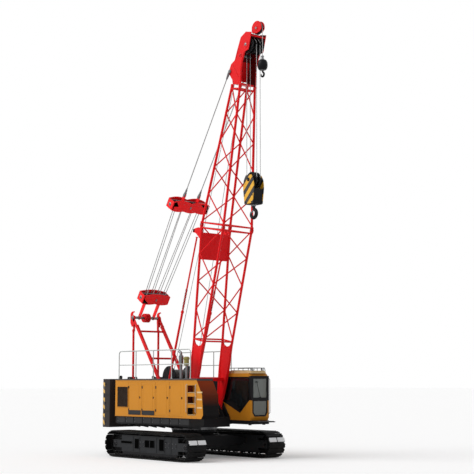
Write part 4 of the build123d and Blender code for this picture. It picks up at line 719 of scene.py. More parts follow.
def pin_loop(distance):
    """Point of the line of track pins, at a distance round it."""
    radius = WHEEL_Z - PIN_INSET
    straight, bend = 2 * WHEEL_X, math.pi * radius
    distance %= 2 * (straight + bend)
    if distance < straight:
        return (-WHEEL_X + distance, PIN_INSET)
    if distance < straight + bend:
        angle = (distance - straight) / radius - math.pi / 2
        return (WHEEL_X + radius * math.cos(angle), WHEEL_Z + radius * math.sin(angle))
    distance -= straight + bend
    if distance < straight:
        return (WHEEL_X - distance, WHEEL_Z + radius)
    angle = (distance - straight) / radius + math.pi / 2
    return (-WHEEL_X + radius * math.cos(angle), WHEEL_Z + radius * math.sin(angle))


def add_track(side):
    """Linked shoes with grousers, bolts, link plates and pins, and near-white pads on one front shoe, a painted
    highlight.
    """
    y = side * TRACK_Y
    pitch = 2 * (2 * WHEEL_X + math.pi * (WHEEL_Z - PIN_INSET)) / SHOES
    half = pitch / 2 - 0.006
    face, crest = PIN_INSET - 0.02, PIN_INSET
    shoes, chain, bolts, pads = Form(), Form(), Form(), Form()
    bright = round((2 * WHEEL_X + math.radians(104) * (WHEEL_Z - PIN_INSET)) / pitch)
    for index in range(SHOES):
        near, far = pin_loop(index * pitch), pin_loop((index + 1) * pitch)
        centre = ((near[0] + far[0]) / 2, y, (near[1] + far[1]) / 2)
        place = tilted(centre, math.atan2(far[1] - near[1], far[0] - near[0])) @ Matrix.Scale(-1, 4, (0, 0, 1))
        for form in (shoes, chain, bolts, pads):
            form.place = place
        # The pads on the shoe at the front bend are near-white: a painted highlight.
        if index == bright:
            for end in SIDES:
                pads.prism(rounded((0.01 - half, half - 0.005), layer(end, 0.02, SHOE_HALF - 0.03), 0.02), "z",
                           face - 0.01, face + 0.025)
        profile = [(-half, 0.045), (half, 0.045), (half, face - 0.008), (half - 0.008, face), (0.062, face),
                   (0.055, crest), (0.03, crest), (0.022, face), (-0.022, face), (-0.03, crest), (-0.055, crest),
                   (-0.062, face), (-half + 0.008, face), (-half, face - 0.008)]
        shoes.prism(profile, "y", 0.02 - SHOE_HALF, SHOE_HALF - 0.02)
        shoes.box((half - 0.012, half + 0.032), (0.03 - SHOE_HALF, SHOE_HALF - 0.03), (0.022, 0.036))
        for end in SIDES:
            lip = layer(end, SHOE_HALF - 0.02, SHOE_HALF)
            plate = [(-half + 0.02, 0.05), (half - 0.02, 0.05), (half - 0.03, face - 0.01), (-half + 0.03, face - 0.01)]
            shoes.prism(plate, "y", *lip)
            link = [(-pitch / 2, -0.03), (0.02, -0.036), (pitch / 2, -0.03), (pitch / 2 + 0.02, 0.02), (0.04, 0.045),
                    (-0.05, 0.045), (-pitch / 2 + 0.01, 0.02)]
            chain.prism(link, "y", *layer(end, CHAIN_HALF - 0.035, CHAIN_HALF))
            for u in (-0.008, 0.008):
                bolts.bolt((u * 5, end * 0.2, face), (0, 0, 1), 0.011, 0.012)
        chain.cross_bar(pitch / 2, 0, CHAIN_HALF + 0.008, 0.02, 10)
    piece("track_pads_" + hand(side), pads, GLINT_WHITE, "undercarriage", ease=0.002)
    piece("track_shoes_" + hand(side), shoes, TRACK_BLACK, "undercarriage",
          ("track_" + hand(side),), 0.003)
    piece("track_chain_" + hand(side), chain, DARK_STEEL, "undercarriage")
    piece("track_bolts_" + hand(side), bolts, STEEL, "undercarriage")


def add_wheels(side):
    """Idler, sprocket with its drive, and rollers of one track."""
    y = side * TRACK_Y
    steel, bolts, caps = Form(), Form(), Form()
    half = 0.1
    rim = [(0.05, -half), (0.12, -half), (0.13, -half + 0.05), (TREAD - 0.07, -half + 0.05), (TREAD - 0.05, -half),
           (TREAD - 0.012, -half), (TREAD, -half + 0.02)]
    steel.lathe(mirrored(rim) + rim[:1], (WHEEL_X, y, WHEEL_Z), (0, 1, 0), 56)
    lobes = 15
    tip = TREAD - 0.006
    outline = []
    for lobe in range(lobes):
        for share, radius in ((-0.22, tip - 0.01), (-0.12, tip), (0.12, tip), (0.22, tip - 0.01), (0.34, tip - 0.045),
                              (0.5, tip - 0.055), (0.66, tip - 0.045)):
            turn = 2 * math.pi * (lobe + share) / lobes
            outline.append((-WHEEL_X + radius * math.cos(turn), WHEEL_Z + radius * math.sin(turn)))
    steel.prism(outline, "y", y - 0.055, y + 0.055)
    low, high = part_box("track_frame_left")
    frame_half = (high.y - low.y) / 2
    for x, driven in ((WHEEL_X, False), (-WHEEL_X, True)):
        outer = y + side * frame_half
        steel.lathe([(0, 0.025), (0.05, 0.025), (0.06, 0.018), (0.1, 0.016), (0.11, 0.006), (0.11, 0.0)],
                    (x, outer, WHEEL_Z), (0, side, 0), 32)
        bolts.bolt_ring((x, outer + side * 0.014, WHEEL_Z), 0.088, 8, side, 0.008, 0.01)
        if driven:
            reach = frame_half + 0.18
            drive = [(0.2, 0.0), (0.2, frame_half), (0.21, frame_half + 0.01), (0.21, frame_half + 0.06),
                     (0.17, frame_half + 0.07), (0.165, reach - 0.02), (0.15, reach), (0, reach)]
            steel.lathe(drive, (x, y, WHEEL_Z), (0, -side, 0), 40)
            bolts.bolt_ring((x, y - side * (frame_half + 0.06), WHEEL_Z), 0.19, 16, -side, 0.009, 0.012)
    bottom = WHEEL_Z - TREAD
    radius, reach = ROLLER_RADIUS, ROLLER_REACH
    for index in range(ROLLERS):
        x = -reach + 2 * reach * index / (ROLLERS - 1)
        z = bottom + radius
        tread = [(0, -0.165), (0.035, -0.165), (0.035, -0.1), (0.085, -0.095), (radius, -0.09), (radius, -0.05),
                 (radius - 0.02, -0.045)]
        steel.lathe(mirrored(tread), (x, y, z), (0, 1, 0), 28)
        caps.lathe([(0.03, 0), (0.03, 0.008), (0, 0.012)], (x, y - side * 0.165, z), (0, -side, 0), 16)
    steel.prism([(-reach - 0.1, 0.13), (reach + 0.1, 0.13), (reach + 0.16, 0.225), (-reach - 0.16, 0.225)], "y",
                *layer(side, 0.185, 0.197, y))
    # The inner roller caps are near-white: a painted highlight for glints.
    piece("roller_caps_" + hand(side), caps, GLINT_WHITE, "undercarriage")
    for x in (-0.7, 0.7):
        z = 2 * WHEEL_Z - bottom - 0.06
        small = [(0, -0.1), (0.03, -0.1), (0.03, -0.07), (0.06, -0.07), (0.06, -0.03), (0.05, -0.025)]
        steel.lathe(mirrored(small), (x, y, z), (0, 1, 0), 24)
    replaced = ("idlers", "sprockets", "rollers")
    piece("running_wheels_" + hand(side), steel, DARK_STEEL, "undercarriage", replaced, 0.002)
    piece("running_bolts_" + hand(side), bolts, STEEL, "undercarriage")


OPENING_RIM = 0.014


def add_track_frame_details(side):
    """Flat near-black plates in raised rims, painted shade in place of recessed openings, and bolted covers, slide
    rails, end yokes and weld seams.
    """
    low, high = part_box("track_frame_left")
    y = side * TRACK_Y
    outer = side * high.y
    metal, bolts, dark = Form(), Form(), Form()
    for rear, front, bottom, top in ((-0.86, -0.6, 0.34, 0.68), (-0.24, 0.03, 0.4, 0.65), (0.07, 0.33, 0.4, 0.65),
                                     (0.62, 0.9, 0.32, 0.71), (-1.72, -1.04, 0.5, 0.58)):
        pocket = [(rear, bottom), (front, bottom), (front, top), (rear, top)]
        # Flat plate standing a little proud of the frame, near-black: painted shade for a recess.
        dark.prism(pocket, "y", *layer(side, -0.004, 0.002, outer))
        surround(metal, pocket, "y", *layer(side, -0.002, OPENING_RIM, outer), 0.0, OPENING_RIM)
    for x in (-0.42, 1.1, 1.5):
        metal.prism(rounded((x - 0.12, x + 0.12), (0.42, 0.6), 0.02), "y", *layer(side, 0, 0.008, outer))
        for dx in (-0.1, 0.1):
            for z in (0.44, 0.58):
                bolts.bolt((x + dx, outer + side * 0.008, z), (0, side, 0), 0.009, 0.01)
    for x in (-0.98, -0.57, 0.44, 0.93, 1.3):
        metal.prism([(x, 0.24), (x + 0.02, 0.24), (x + 0.02, 0.76), (x, 0.76)], "y", *layer(side, 0, 0.012, outer))
    for z in (0.22, 0.785):
        metal.pipe([(x, outer + side * 0.004, z) for x in (low.x + 0.02, high.x - 0.02)], 0.006, 6)
    for start, end in ((low.x + 0.02, -0.8), (-0.6, 0.6), (0.8, high.x - 0.02)):
        dark.prism([(start, 0.795), (end, 0.795), (end - 0.04, 0.832), (start + 0.04, 0.832)], "y", y - 0.16, y + 0.16)
    for end in SIDES:
        yoke = [(end * 1.5, 0.24), (end * 2.0, 0.36), (end * 2.12, WHEEL_Z), (end * 2.0, 0.62), (end * 1.5, 0.76)]
        for shift in (-0.125, 0.11):
            dark.prism(yoke, "y", y + shift, y + shift + 0.015)
    piece("track_frame_covers_" + hand(side), metal, FRAME_GREY, "undercarriage", ease=0.002)
    piece("track_frame_shade_plates_" + hand(side), dark, SHADE_BLACK, "undercarriage")
    piece("track_frame_bolts_" + hand(side), bolts, STEEL, "undercarriage")


def add_slew_ring():
    """Races of the slewing ring with the groove between them, and its circle of bolts."""
    low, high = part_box("slew_ring")
    radius = high.x
    ring, bolts = Form(), Form()
    ring.lathe([(radius - 0.12, low.z), (radius, low.z), (radius, low.z + 0.035), (radius - 0.012, low.z + 0.04),
                (radius - 0.012, low.z + 0.048), (radius, low.z + 0.053), (radius, high.z - 0.004),
                (radius - 0.12, high.z - 0.004)], (0, 0, 0), (0, 0, 1), 96)
    for index in range(40):
        turn = 2 * math.pi * index / 40
        spot = ((radius + 0.012) * math.cos(turn), (radius + 0.012) * math.sin(turn))
        bolts.bolt((spot[0], spot[1], low.z - 0.012), (0, 0, 1), 0.012, 0.02)
    piece("slew_ring_race", ring, STEEL, "undercarriage", ("slew_ring",), 0.001)
    piece("slew_ring_bolts", bolts, STEEL, "undercarriage")


def add_carbody_details():
    """Bolted plates at the axle ends, and gussets round the hub of the centre body."""
    plates, bolts = Form(), Form()
    for side in SIDES:
        for x in SIDES:
            y = side * (TRACK_Y - 0.23)
            plates.prism(rounded((x * 0.88 - 0.17, x * 0.88 + 0.17), (0.46, 0.66), 0.03), "y",
                         *layer(side, 0, -0.025, y))
            for dx in (-0.13, 0.13):
                for z in (0.49, 0.63):
                    bolts.bolt((x * 0.88 + dx, y - side * 0.025, z), (0, -side, 0), 0.014, 0.015)
    for index in range(12):
        turn = 2 * math.pi * (index + 0.5) / 12
        way = Vector((math.cos(turn), math.sin(turn), 0))
        across = Vector((-way.y, way.x, 0)) * 0.012
        inner, outer = way * 0.7, way * 0.775
        points = []
        for shift in (-1, 1):
            points += [inner + across * shift + Vector((0, 0, 0.83)), outer + across * shift + Vector((0, 0, 0.915)),
                       inner + across * shift + Vector((0, 0, 0.915))]
        plates.add(points, [(0, 1, 2), (5, 4, 3), (0, 3, 4, 1), (1, 4, 5, 2), (2, 5, 3, 0)])
    piece("carbody_plates", plates, FRAME_BLACK, "undercarriage", ease=0.002)
    piece("carbody_bolts", bolts, STEEL, "undercarriage")


# --- boom -----------------------------------------------------------------------------------
FOOT = middle("foot_pins")
BOOM_ANGLE = math.radians(79.2)
BOOM = tilted((FOOT.x, 0, FOOT.z), BOOM_ANGLE)
HALF_WIDTH, HALF_DEPTH = 0.645, 0.62
FOOT_HALF = 0.075
BASE_END, HEAD_START = 6.5, 11.55
HEAD_HALF_WIDTH, HEAD_HALF_DEPTH = 0.335, 0.22
CHORD, LACE, END_BAR = 0.045, 0.023, 0.029
PLATE_END = 2.45
LEG_GAIN = 0.07


def base_corner(along, side, face):
    return (along, side * HALF_WIDTH, face * (FOOT_HALF + (HALF_DEPTH - FOOT_HALF) * along / BASE_END))


def top_corner(along, side, face):
    share = (along - BASE_END) / (HEAD_START - BASE_END)
    return (along, side * (HALF_WIDTH + (HEAD_HALF_WIDTH - HALF_WIDTH) * share),
            face * (HALF_DEPTH + (HEAD_HALF_DEPTH - HALF_DEPTH) * share))


def brace(form, start, end, radius):
    """Round brace with a weld fillet at each end."""
    start, end = Vector(start), Vector(end)
    way = (end - start).normalized()
    first, last = start + way * CHORD, end - way * CHORD
    form.tube(start + way * 0.03, end - way * 0.03, radius, steps=12)
    form.tube(first - way * 0.01, first + way * 0.016, radius + 0.011, radius, 12)
    form.tube(last + way * 0.01, last - way * 0.016, radius + 0.011, radius, 12)


def lace(form, corner, low, high, bays):
    """Zigzag braces on four faces, and a square frame at each end."""
    stops = [low + (high - low) * step / bays for step in range(bays + 1)]
    for index in range(bays):
        near, far = stops[index], stops[index + 1]
        turn = 1 if index % 2 else -1
        for side in SIDES:
            brace(form, corner(near, side, turn), corner(far, side, -turn), LACE)
            brace(form, corner(near, turn, side), corner(far, -turn, side), LACE)
    for along in (low - 0.075, high - 0.075):
        for side in SIDES:
            brace(form, corner(along, side, -1), corner(along, side, 1), END_BAR)
            brace(form, corner(along, -1, side), corner(along, 1, side), END_BAR)


def add_lattice():
    """Chords, lacing, joint forks, leg plates and rear panel of both boom sections."""
    chords, lacing, plates, pins = Form(BOOM), Form(BOOM), Form(BOOM), Form(BOOM)
    for side in SIDES:
        for face in SIDES:
            chords.tube(base_corner(0.5, side, face), base_corner(BASE_END - 0.1, side, face), CHORD, steps=24)
            chords.tube(top_corner(BASE_END + 0.1, side, face), top_corner(HEAD_START, side, face), CHORD, steps=24)
            y, rear = side * HALF_WIDTH, face * HALF_DEPTH
            chords.lathe([(0, -0.115), (CHORD, -0.115), (0.062, -0.095), (0.062, -0.05), (0.05, -0.04), (0, -0.04)],
                         (BASE_END, y, rear), (1, 0, 0), 24)
            chords.lathe([(0, 0.115), (CHORD, 0.115), (0.062, 0.095), (0.062, 0.05), (0.05, 0.04), (0, 0.04)],
                         (BASE_END, y, rear), (1, 0, 0), 24)
            for low, thick in ((-0.05, 0.022), (-0.012, 0.024), (0.028, 0.022)):
                lug = arc(BASE_END, rear, 0.052, -90, 90, 8)
                lug += [(BASE_END - 0.07, rear + 0.045), (BASE_END - 0.07, rear - 0.045)]
                if low == -0.012:
                    lug = [(2 * BASE_END - a, b) for a, b in lug]
                plates.prism(lug, "y", y + low, y + low + thick)
            pins.tube((BASE_END, y - 0.062, rear), (BASE_END, y + 0.062, rear), 0.022, steps=16)
            pins.ring(0.03, 0.005, (BASE_END, y + side * 0.056, rear), (0, 1, 0), 0.008, 16)
            head = top_corner(HEAD_START, side, face)
            chords.lathe([(0.055, -0.12), (0.055, 0.0), (0, 0)], head, (1, 0, 0), 24)
    lace(lacing, base_corner, PLATE_END + 0.075, BASE_END - 0.0375, 4)
    lace(lacing, top_corner, BASE_END + 0.15, HEAD_START - 0.075, 5)
    top = base_corner(PLATE_END, 1, 1)[2]
    for side in SIDES:
        inner, outer = layer(side, HALF_WIDTH - 0.03, HALF_WIDTH + 0.03)
        notch = [(PLATE_END, top), (PLATE_END - 0.16, 0.6 * top), (PLATE_END - 0.22, 0.0),
                 (PLATE_END - 0.16, -0.6 * top), (PLATE_END, -top)]
        leg = arc(0, 0, 0.09, 100, 260, 8) + [(0.25, -0.095)] + notch[::-1] + [(0.25, 0.095)]
        plates.prism(leg, "y", inner, outer)
        for face in SIDES:
            chords.tube(base_corner(0.08, side, face), base_corner(0.6, side, face), CHORD * 0.9, CHORD, 24)
            edge = [base_corner(along, side, face) for along in (0.3, PLATE_END)]
            for y in (inner, outer):
                plates.pipe([(edge[0][0], y, edge[0][2]), (edge[1][0], y, edge[1][2])], 0.008, 6)
        bush = layer(side, 0.53, 0.69)
        plates.sleeve(0.05, 0.11, (0, bush[0], 0), (0, 1, 0), bush[1] - bush[0], 32)
        bracket = [(BASE_END - 0.54, HALF_DEPTH - 0.06), (BASE_END - 0.35, HALF_DEPTH + 0.24)]
        bracket += [(BASE_END - 0.3, HALF_DEPTH + 0.44), (BASE_END - 0.21, HALF_DEPTH + 0.44)]
        bracket += [(BASE_END - 0.12, HALF_DEPTH + 0.16), (BASE_END - 0.12, HALF_DEPTH - 0.06)]
        for y in (side * 0.6, side * 0.665):
            plates.prism(bracket, "y", *layer(side, 0, 0.015, y))
        pad = [(BASE_END - 0.33, HALF_DEPTH + 0.34), (BASE_END - 0.33, HALF_DEPTH + 0.44),
               (BASE_END - 0.2, HALF_DEPTH + 0.44), (BASE_END - 0.2, HALF_DEPTH + 0.34)]
        plates.prism(pad, "y", *layer(side, 0.6, 0.68))
    plates.prism([(1.0, -0.06), (1.0, 0.06), (1.12, 0.06), (1.12, -0.06)], "y", -HALF_WIDTH, HALF_WIDTH)
    panel = [base_corner(along, 0, 1) for along in (BASE_END - 1.24, BASE_END - 0.28)]
    for half, inset, thick in ((HALF_WIDTH, 0.0, 0.008), (HALF_WIDTH - 0.06, 0.06, 0.014)):
        rows = [(panel[0][0] + inset, panel[0][2]), (panel[1][0] - inset, panel[1][2])]
        plates.prism([(rows[0][0], rows[0][1] - thick), (rows[1][0], rows[1][1] - thick),
                      (rows[1][0], rows[1][1] + thick), (rows[0][0], rows[0][1] + thick)], "y", -half, half)
    nodes = ("boom_base", "boom_base_braces", "boom_top", "boom_top_braces")
    piece("boom_chords", chords, RED, "boom", nodes)
    piece("boom_lacing", lacing, RED, "boom")
    piece("boom_plates", plates, RED, "boom", ease=0.003)
    piece("boom_joint_pins", pins, STEEL, "boom", ease=0.002)


MAIN_AXIS = (HEAD_START + 1.4, -0.278)
AUX_AXIS = (HEAD_START + 2.01, -0.43)
PENDANT_AXIS = (HEAD_START + 0.45, 0.42)
GUIDE_AXIS = (HEAD_START + 1.05, 0.185)
GUIDE_WIDTH, GUARD_RADIUS = 0.33, 0.315
MAIN_RADIUS, AUX_RADIUS = 0.28, 0.22
MAIN_LINE_Y, AUX_LINE_Y = -0.1, 0.12
FALL_Y = 0.08
ROPE_RADIUS = 0.011
HEAD_FACE = 0.35


def add_leg_flanges():
    """Stiffening flanges welded along the front and rear edges of the foot plates."""
    flange = Form(BOOM)
    for side in SIDES:
        span = layer(side, HALF_WIDTH - 0.05, HALF_WIDTH + 0.05)
        for face in SIDES:
            outer, inner = [], []
            for along in (0.35, 0.9, 1.5, PLATE_END - 0.1):
                depth = FOOT_HALF + (HALF_DEPTH - FOOT_HALF) * along / BASE_END
                outer.append((along, face * (depth + LEG_GAIN * math.sin(math.pi * min(1.0, along / PLATE_END)))))
                inner.append((along, face * (depth - 0.02)))
            flange.prism(outer + inner[::-1], "y", *span)
    piece("leg_flanges", flange, RED, "boom", ease=0.004)


def add_head():
    """Sheaves, shafts, rope guards, doubler plates, stiffeners and back sheet of the boom head."""
    wheels, metal, plates, bolts = Form(BOOM), Form(BOOM), Form(BOOM), Form(BOOM)
    for y in (-0.24, -FALL_Y, FALL_Y, 0.24):
        wheels.sheave((MAIN_AXIS[0], y, MAIN_AXIS[1]), MAIN_RADIUS, 0.06)
    metal.cross_bar(*MAIN_AXIS, HEAD_FACE + 0.02, 0.05, 32)
    metal.cross_bar(*GUIDE_AXIS, GUIDE_WIDTH, 0.03)
    for y in (-0.2, 0.0, 0.2):
        metal.lathe([(0.03, -0.08), (0.078, -0.08), (0.066, -0.04), (0.066, 0.04), (0.078, 0.08), (0.03, 0.08)],
                    (GUIDE_AXIS[0], y, GUIDE_AXIS[1]), (0, 1, 0), 28)
    for side in SIDES:
        face = side * HEAD_FACE
        way = (0, side, 0)
        for (along, rear), radius in ((MAIN_AXIS, 0.13), (PENDANT_AXIS, 0.09), ((HEAD_START + 1.01, -0.06), 0.07)):
            plates.lathe([(0.0, -0.01), (radius, -0.01), (radius, 0.012), (0.036, 0.012)], (along, face, rear), way, 32)
            bolts.bolt_ring((along, face + side * 0.012, rear), radius * 0.78, 6, side, 0.008, 0.01)
        metal.lathe([(0.058, 0.0), (0.058, 0.02), (0.04, 0.026), (0, 0.026)],
                    (MAIN_AXIS[0], face, MAIN_AXIS[1]), way, 6)
        for start, end in (((0.06, -0.23), (0.45, -0.165)), ((0.45, -0.165), (0.8, -0.165)),
                           ((0.8, -0.165), (1.12, -0.23)), ((0.06, 0.165), (0.15, 0.205)),
                           ((0.87, 0.205), (1.27, 0.115)), ((0.25, -0.1), (0.7, 0.33))):
            first = (HEAD_START + start[0], face + side * 0.006, start[1])
            last = (HEAD_START + end[0], face + side * 0.006, end[1])
            plates.pipe([first, last], 0.01, 8)
        for index in range(9):
            spot = (HEAD_START + 0.1 + 0.12 * index, face, -0.195 + (0.03 if 3 < index < 7 else 0.0))
            bolts.bolt(spot, way, 0.007, 0.009)
    back = [(0.15, 0.235), (0.32, 0.4), (0.55, 0.45), (0.7, 0.4), (0.85, 0.235), (1.27, 0.145), (1.27, 0.13),
            (0.84, 0.215), (0.69, 0.38), (0.55, 0.43), (0.33, 0.38), (0.16, 0.215)]
    sheet = Form(BOOM)
    for y in (-0.315, 0.295):
        sheet.prism([(HEAD_START + along, rear) for along, rear in back], "y", y, y + 0.02)
    lip = ((0.85, 0.235), (1.27, 0.145), (1.27, 0.13), (0.85, 0.215))
    sheet.prism([(HEAD_START + along, rear) for along, rear in lip], "y", -0.318, 0.318)
    # The back sheet between the head plates takes the dark red: painted shade.
    piece("head_back_sheet", sheet, SHADED_RED, "boom", ease=0.001)
    for y in (-0.16, 0.0, 0.16):
        metal.pipe(raised(arc(*MAIN_AXIS, GUARD_RADIUS, -60, 60, 12), "y", y), 0.009, 8)
    metal.cross_bar(MAIN_AXIS[0] + GUARD_RADIUS, MAIN_AXIS[1], GUIDE_WIDTH, 0.011, 10)
    piece("head_sheave_wheels", wheels, DARK_STEEL, "boom", ("head_sheaves",))
    piece("head_shafts", metal, STEEL, "boom", ease=0.0015)
    piece("head_stiffeners", plates, RED, "boom", ease=0.002)
    piece("head_bolts", bolts, STEEL, "boom")


def add_tip():
    """Fly tip: two rounded arms, one sheave and its keeper bars."""
    arms, wheel, metal = Form(BOOM), Form(BOOM), Form(BOOM)
    x, z = AUX_AXIS
    foot = HEAD_START + 1.83
    outline = [(foot, -0.25), (foot + 0.07, -0.19), (HEAD_START + 2.05, -0.17)]
    outline += arc(x, z, 0.26, 70, -95, 14) + [(HEAD_START + 1.9, -0.62), (foot, -0.47)]
    for low in (-0.085, 0.06):
        arms.prism(outline, "y", low, low + 0.025)
    wheel.sheave((x, 0, z), AUX_RADIUS, 0.07)
    metal.cross_bar(x, z, 0.1, 0.04, 24)
    for side in SIDES:
        arms.lathe([(0.0, 0), (0.085, 0), (0.085, 0.012), (0.04, 0.012)], (x, side * 0.085, z), (0, side, 0), 28)
        metal.lathe([(0.045, 0.01), (0.045, 0.02), (0, 0.02)], (x, side * 0.09, z), (0, side, 0), 6)
    for turn in (-80, -20, 50):
        a = math.radians(turn)
        spot = (x + 0.24 * math.cos(a), z + 0.24 * math.sin(a))
        metal.cross_bar(*spot, 0.085, 0.01, 10)
    piece("tip_arms", arms, RED, "boom", ("tip_extension",), 0.003)
    piece("tip_sheave", wheel, DARK_STEEL, "boom")
    piece("tip_pins", metal, STEEL, "boom", ease=0.001)


# --- rope work ------------------------------------------------------------------------------
def at_boom(along, y, rear):
    return BOOM @ Vector((along, y, rear))


GANTRY_PIN = Vector((-3.05, 0, 5.11))
GANTRY_FOOT_XZ = (-0.48, 1.55)
GANTRY_FOOT = Vector((GANTRY_FOOT_XZ[0], 0, GANTRY_FOOT_XZ[1]))
BOOM_DRUM, HOIST_DRUM, REAR_DRUM = (-0.93, 2.85), (-0.15, 2.05), (-2.2, 1.75)
PENDANT_PIN = at_boom(PENDANT_AXIS[0], 0, PENDANT_AXIS[1])
LINE_RUN = (PENDANT_PIN - GANTRY_PIN).length
LINE = tilted(GANTRY_PIN, math.atan2(PENDANT_PIN.z - GANTRY_PIN.z, PENDANT_PIN.x - GANTRY_PIN.x))
LOWER_AT, UPPER_AT = 0.9, 4.83
SPREADER_HALF, SPREADER_DEEP, SPREADER_LIP = 0.25, 0.38, 0.08
LOWER_Y = (-0.48, -0.34, -0.2, -0.07, 0.07, 0.2, 0.34, 0.48)
UPPER_Y = (-0.64, -0.5, -0.34, -0.14, 0.14, 0.34, 0.5, 0.64)


def humps(at, width, count, rise):
    """Wavy edge with one arched hump after another."""
    steps = 10
    points = []
    for step in range(count * steps + 1):
        points.append((at + rise * abs(math.sin(math.pi * step / steps)), width * (step / (count * steps) - 0.5)))
    return points


def add_spreader(name, at, width, sheaves, waves, body, lugs):
    """Sheaves between two wavy cover plates with stiffened edges, end plates, shaft and lugs."""
    frame, wheels, metal = Form(LINE), Form(LINE), Form(LINE)
    half, reach, deep = width / 2, SPREADER_HALF - SPREADER_LIP, SPREADER_DEEP / 2
    edge = humps(at + reach, width, waves[0], SPREADER_LIP)
    edge += humps(at - reach, width, waves[1], -SPREADER_LIP / 2)[::-1]
    for face in SIDES:
        frame.prism(edge, "z", *layer(face, deep, deep - 0.02))
        surround(frame, edge[::-1], "z", *layer(face, deep, deep + 0.006), 0.03, 0.0)
        for y in sheaves:
            metal.bolt((at - reach * 0.7, y, face * deep), (0, 0, face), 0.009, 0.01)
            metal.bolt((at + reach * 0.7, y, face * deep), (0, 0, face), 0.009, 0.01)
        metal.prism(rounded((at - 0.05, at + 0.05), (-0.03, 0.03), 0.01), "z", *layer(face, deep, deep + 0.012))
    for end in SIDES:
        plate = rounded((at - reach, at + reach), (-deep, deep), 0.05, 3)
        frame.prism(plate, "y", *layer(end, half, half - 0.03))
        metal.lathe([(0.07, 0.0), (0.07, 0.01), (0.05, 0.018), (0, 0.018)], (at, end * half, 0), (0, end, 0), 24)
        metal.bolt((at, end * (half + 0.016), 0), (0, end, 0), 0.022, 0.02)
    metal.cross_bar(at, 0, half + 0.01, 0.045, 24)
    for y in sheaves:
        wheels.sheave((at, y, 0), 0.17, 0.05, ribs=5)
    for bar in (-reach, reach):
        metal.cross_bar(at + bar, 0, half, 0.014, 10)
    for low, start, end in lugs:
        turn = -90 if end > start else 90
        outline = arc(end, 0, 0.075, turn, turn + 180, 8)
        outline += [(start, 0.09), (start, -0.09)] if end > start else [(start, -0.09), (start, 0.09)]
        frame.prism(outline, "y", low, low + 0.03)
        metal.ring(0.07, 0.03, (end, low + 0.015, 0), (0, 1, 0), 0.044, 28)
    # The frame takes the lighter spreader red: painted light.
    piece(name + "_frame", frame, LIT_SPREADER_RED, body, (name,), 0.003)
    piece(name + "_sheaves", wheels, DARK_STEEL, body)
    piece(name + "_shafts", metal, STEEL, body, ease=0.001)


def add_luffing_ropes():
    """Rope parts between the spreaders, and the two pendants with their sockets."""
    start, end = LOWER_AT, UPPER_AT
    falls = Form(LINE)
    for index, (first, last) in enumerate(zip(LOWER_Y, UPPER_Y)):
        side = 0.15 if index % 2 else -0.15
        falls.pipe([(start, first, side), (end, last, side)], ROPE_RADIUS + 0.003, 10)
    near, far = LINE @ Vector((start + 0.2, 0, 0)), LINE @ Vector((end - 0.2, 0, 0))
    piece("luffing_rope_falls", falls, ROPE, ("luffing_line", "bridle", near, far), ("luffing_falls",))
    ropes, sockets = Form(LINE), Form(LINE)
    lug = UPPER_AT + 0.4
    for side in SIDES:
        low, high = side * 0.33, side * (HEAD_FACE + 0.026)
        ropes.pipe([(lug + 0.25, low, 0), (LINE_RUN - 0.28, high, 0)], 0.018, 12)
        sockets.lathe([(0, 0.02), (0.03, 0.02), (0.038, 0.06), (0.036, 0.2), (0.024, 0.26), (0.02, 0.3)],
                      (lug, low, 0), (1, 0, 0), 20)
        for shift in (-0.028, 0.028):
            fork = arc(lug, 0, 0.06, 90, 270, 8) + [(lug + 0.12, -0.03), (lug + 0.12, 0.03)]
            sockets.prism(fork, "y", low + shift - 0.008, low + shift + 0.008)
        sockets.tube((lug, low - 0.05, 0), (lug, low + 0.05, 0), 0.024, steps=16)
        sockets.ring(0.062, 0.036, (LINE_RUN, high, 0), (0, 1, 0), 0.036, 28)
        sockets.lathe([(0.05, -0.06), (0.045, -0.12), (0.034, -0.26), (0.022, -0.32)], (LINE_RUN, high, 0),
                      (1, 0, 0), 20)
        sockets.tube((LINE_RUN, high - side * 0.03, 0), (LINE_RUN, high + side * 0.03, 0), 0.034, steps=20)
    piece("pendant_ropes", ropes, ROPE, "bridle", ("pendants",))
    piece("pendant_sockets", sockets, STEEL, "bridle", ease=0.002)


MAIN = at_boom(MAIN_AXIS[0], 0, MAIN_AXIS[1])
AUX = at_boom(AUX_AXIS[0], 0, AUX_AXIS[1])
BLOCK_LOW, BLOCK_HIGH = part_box("hook_block")
AUX_X = middle("aux_fall").x


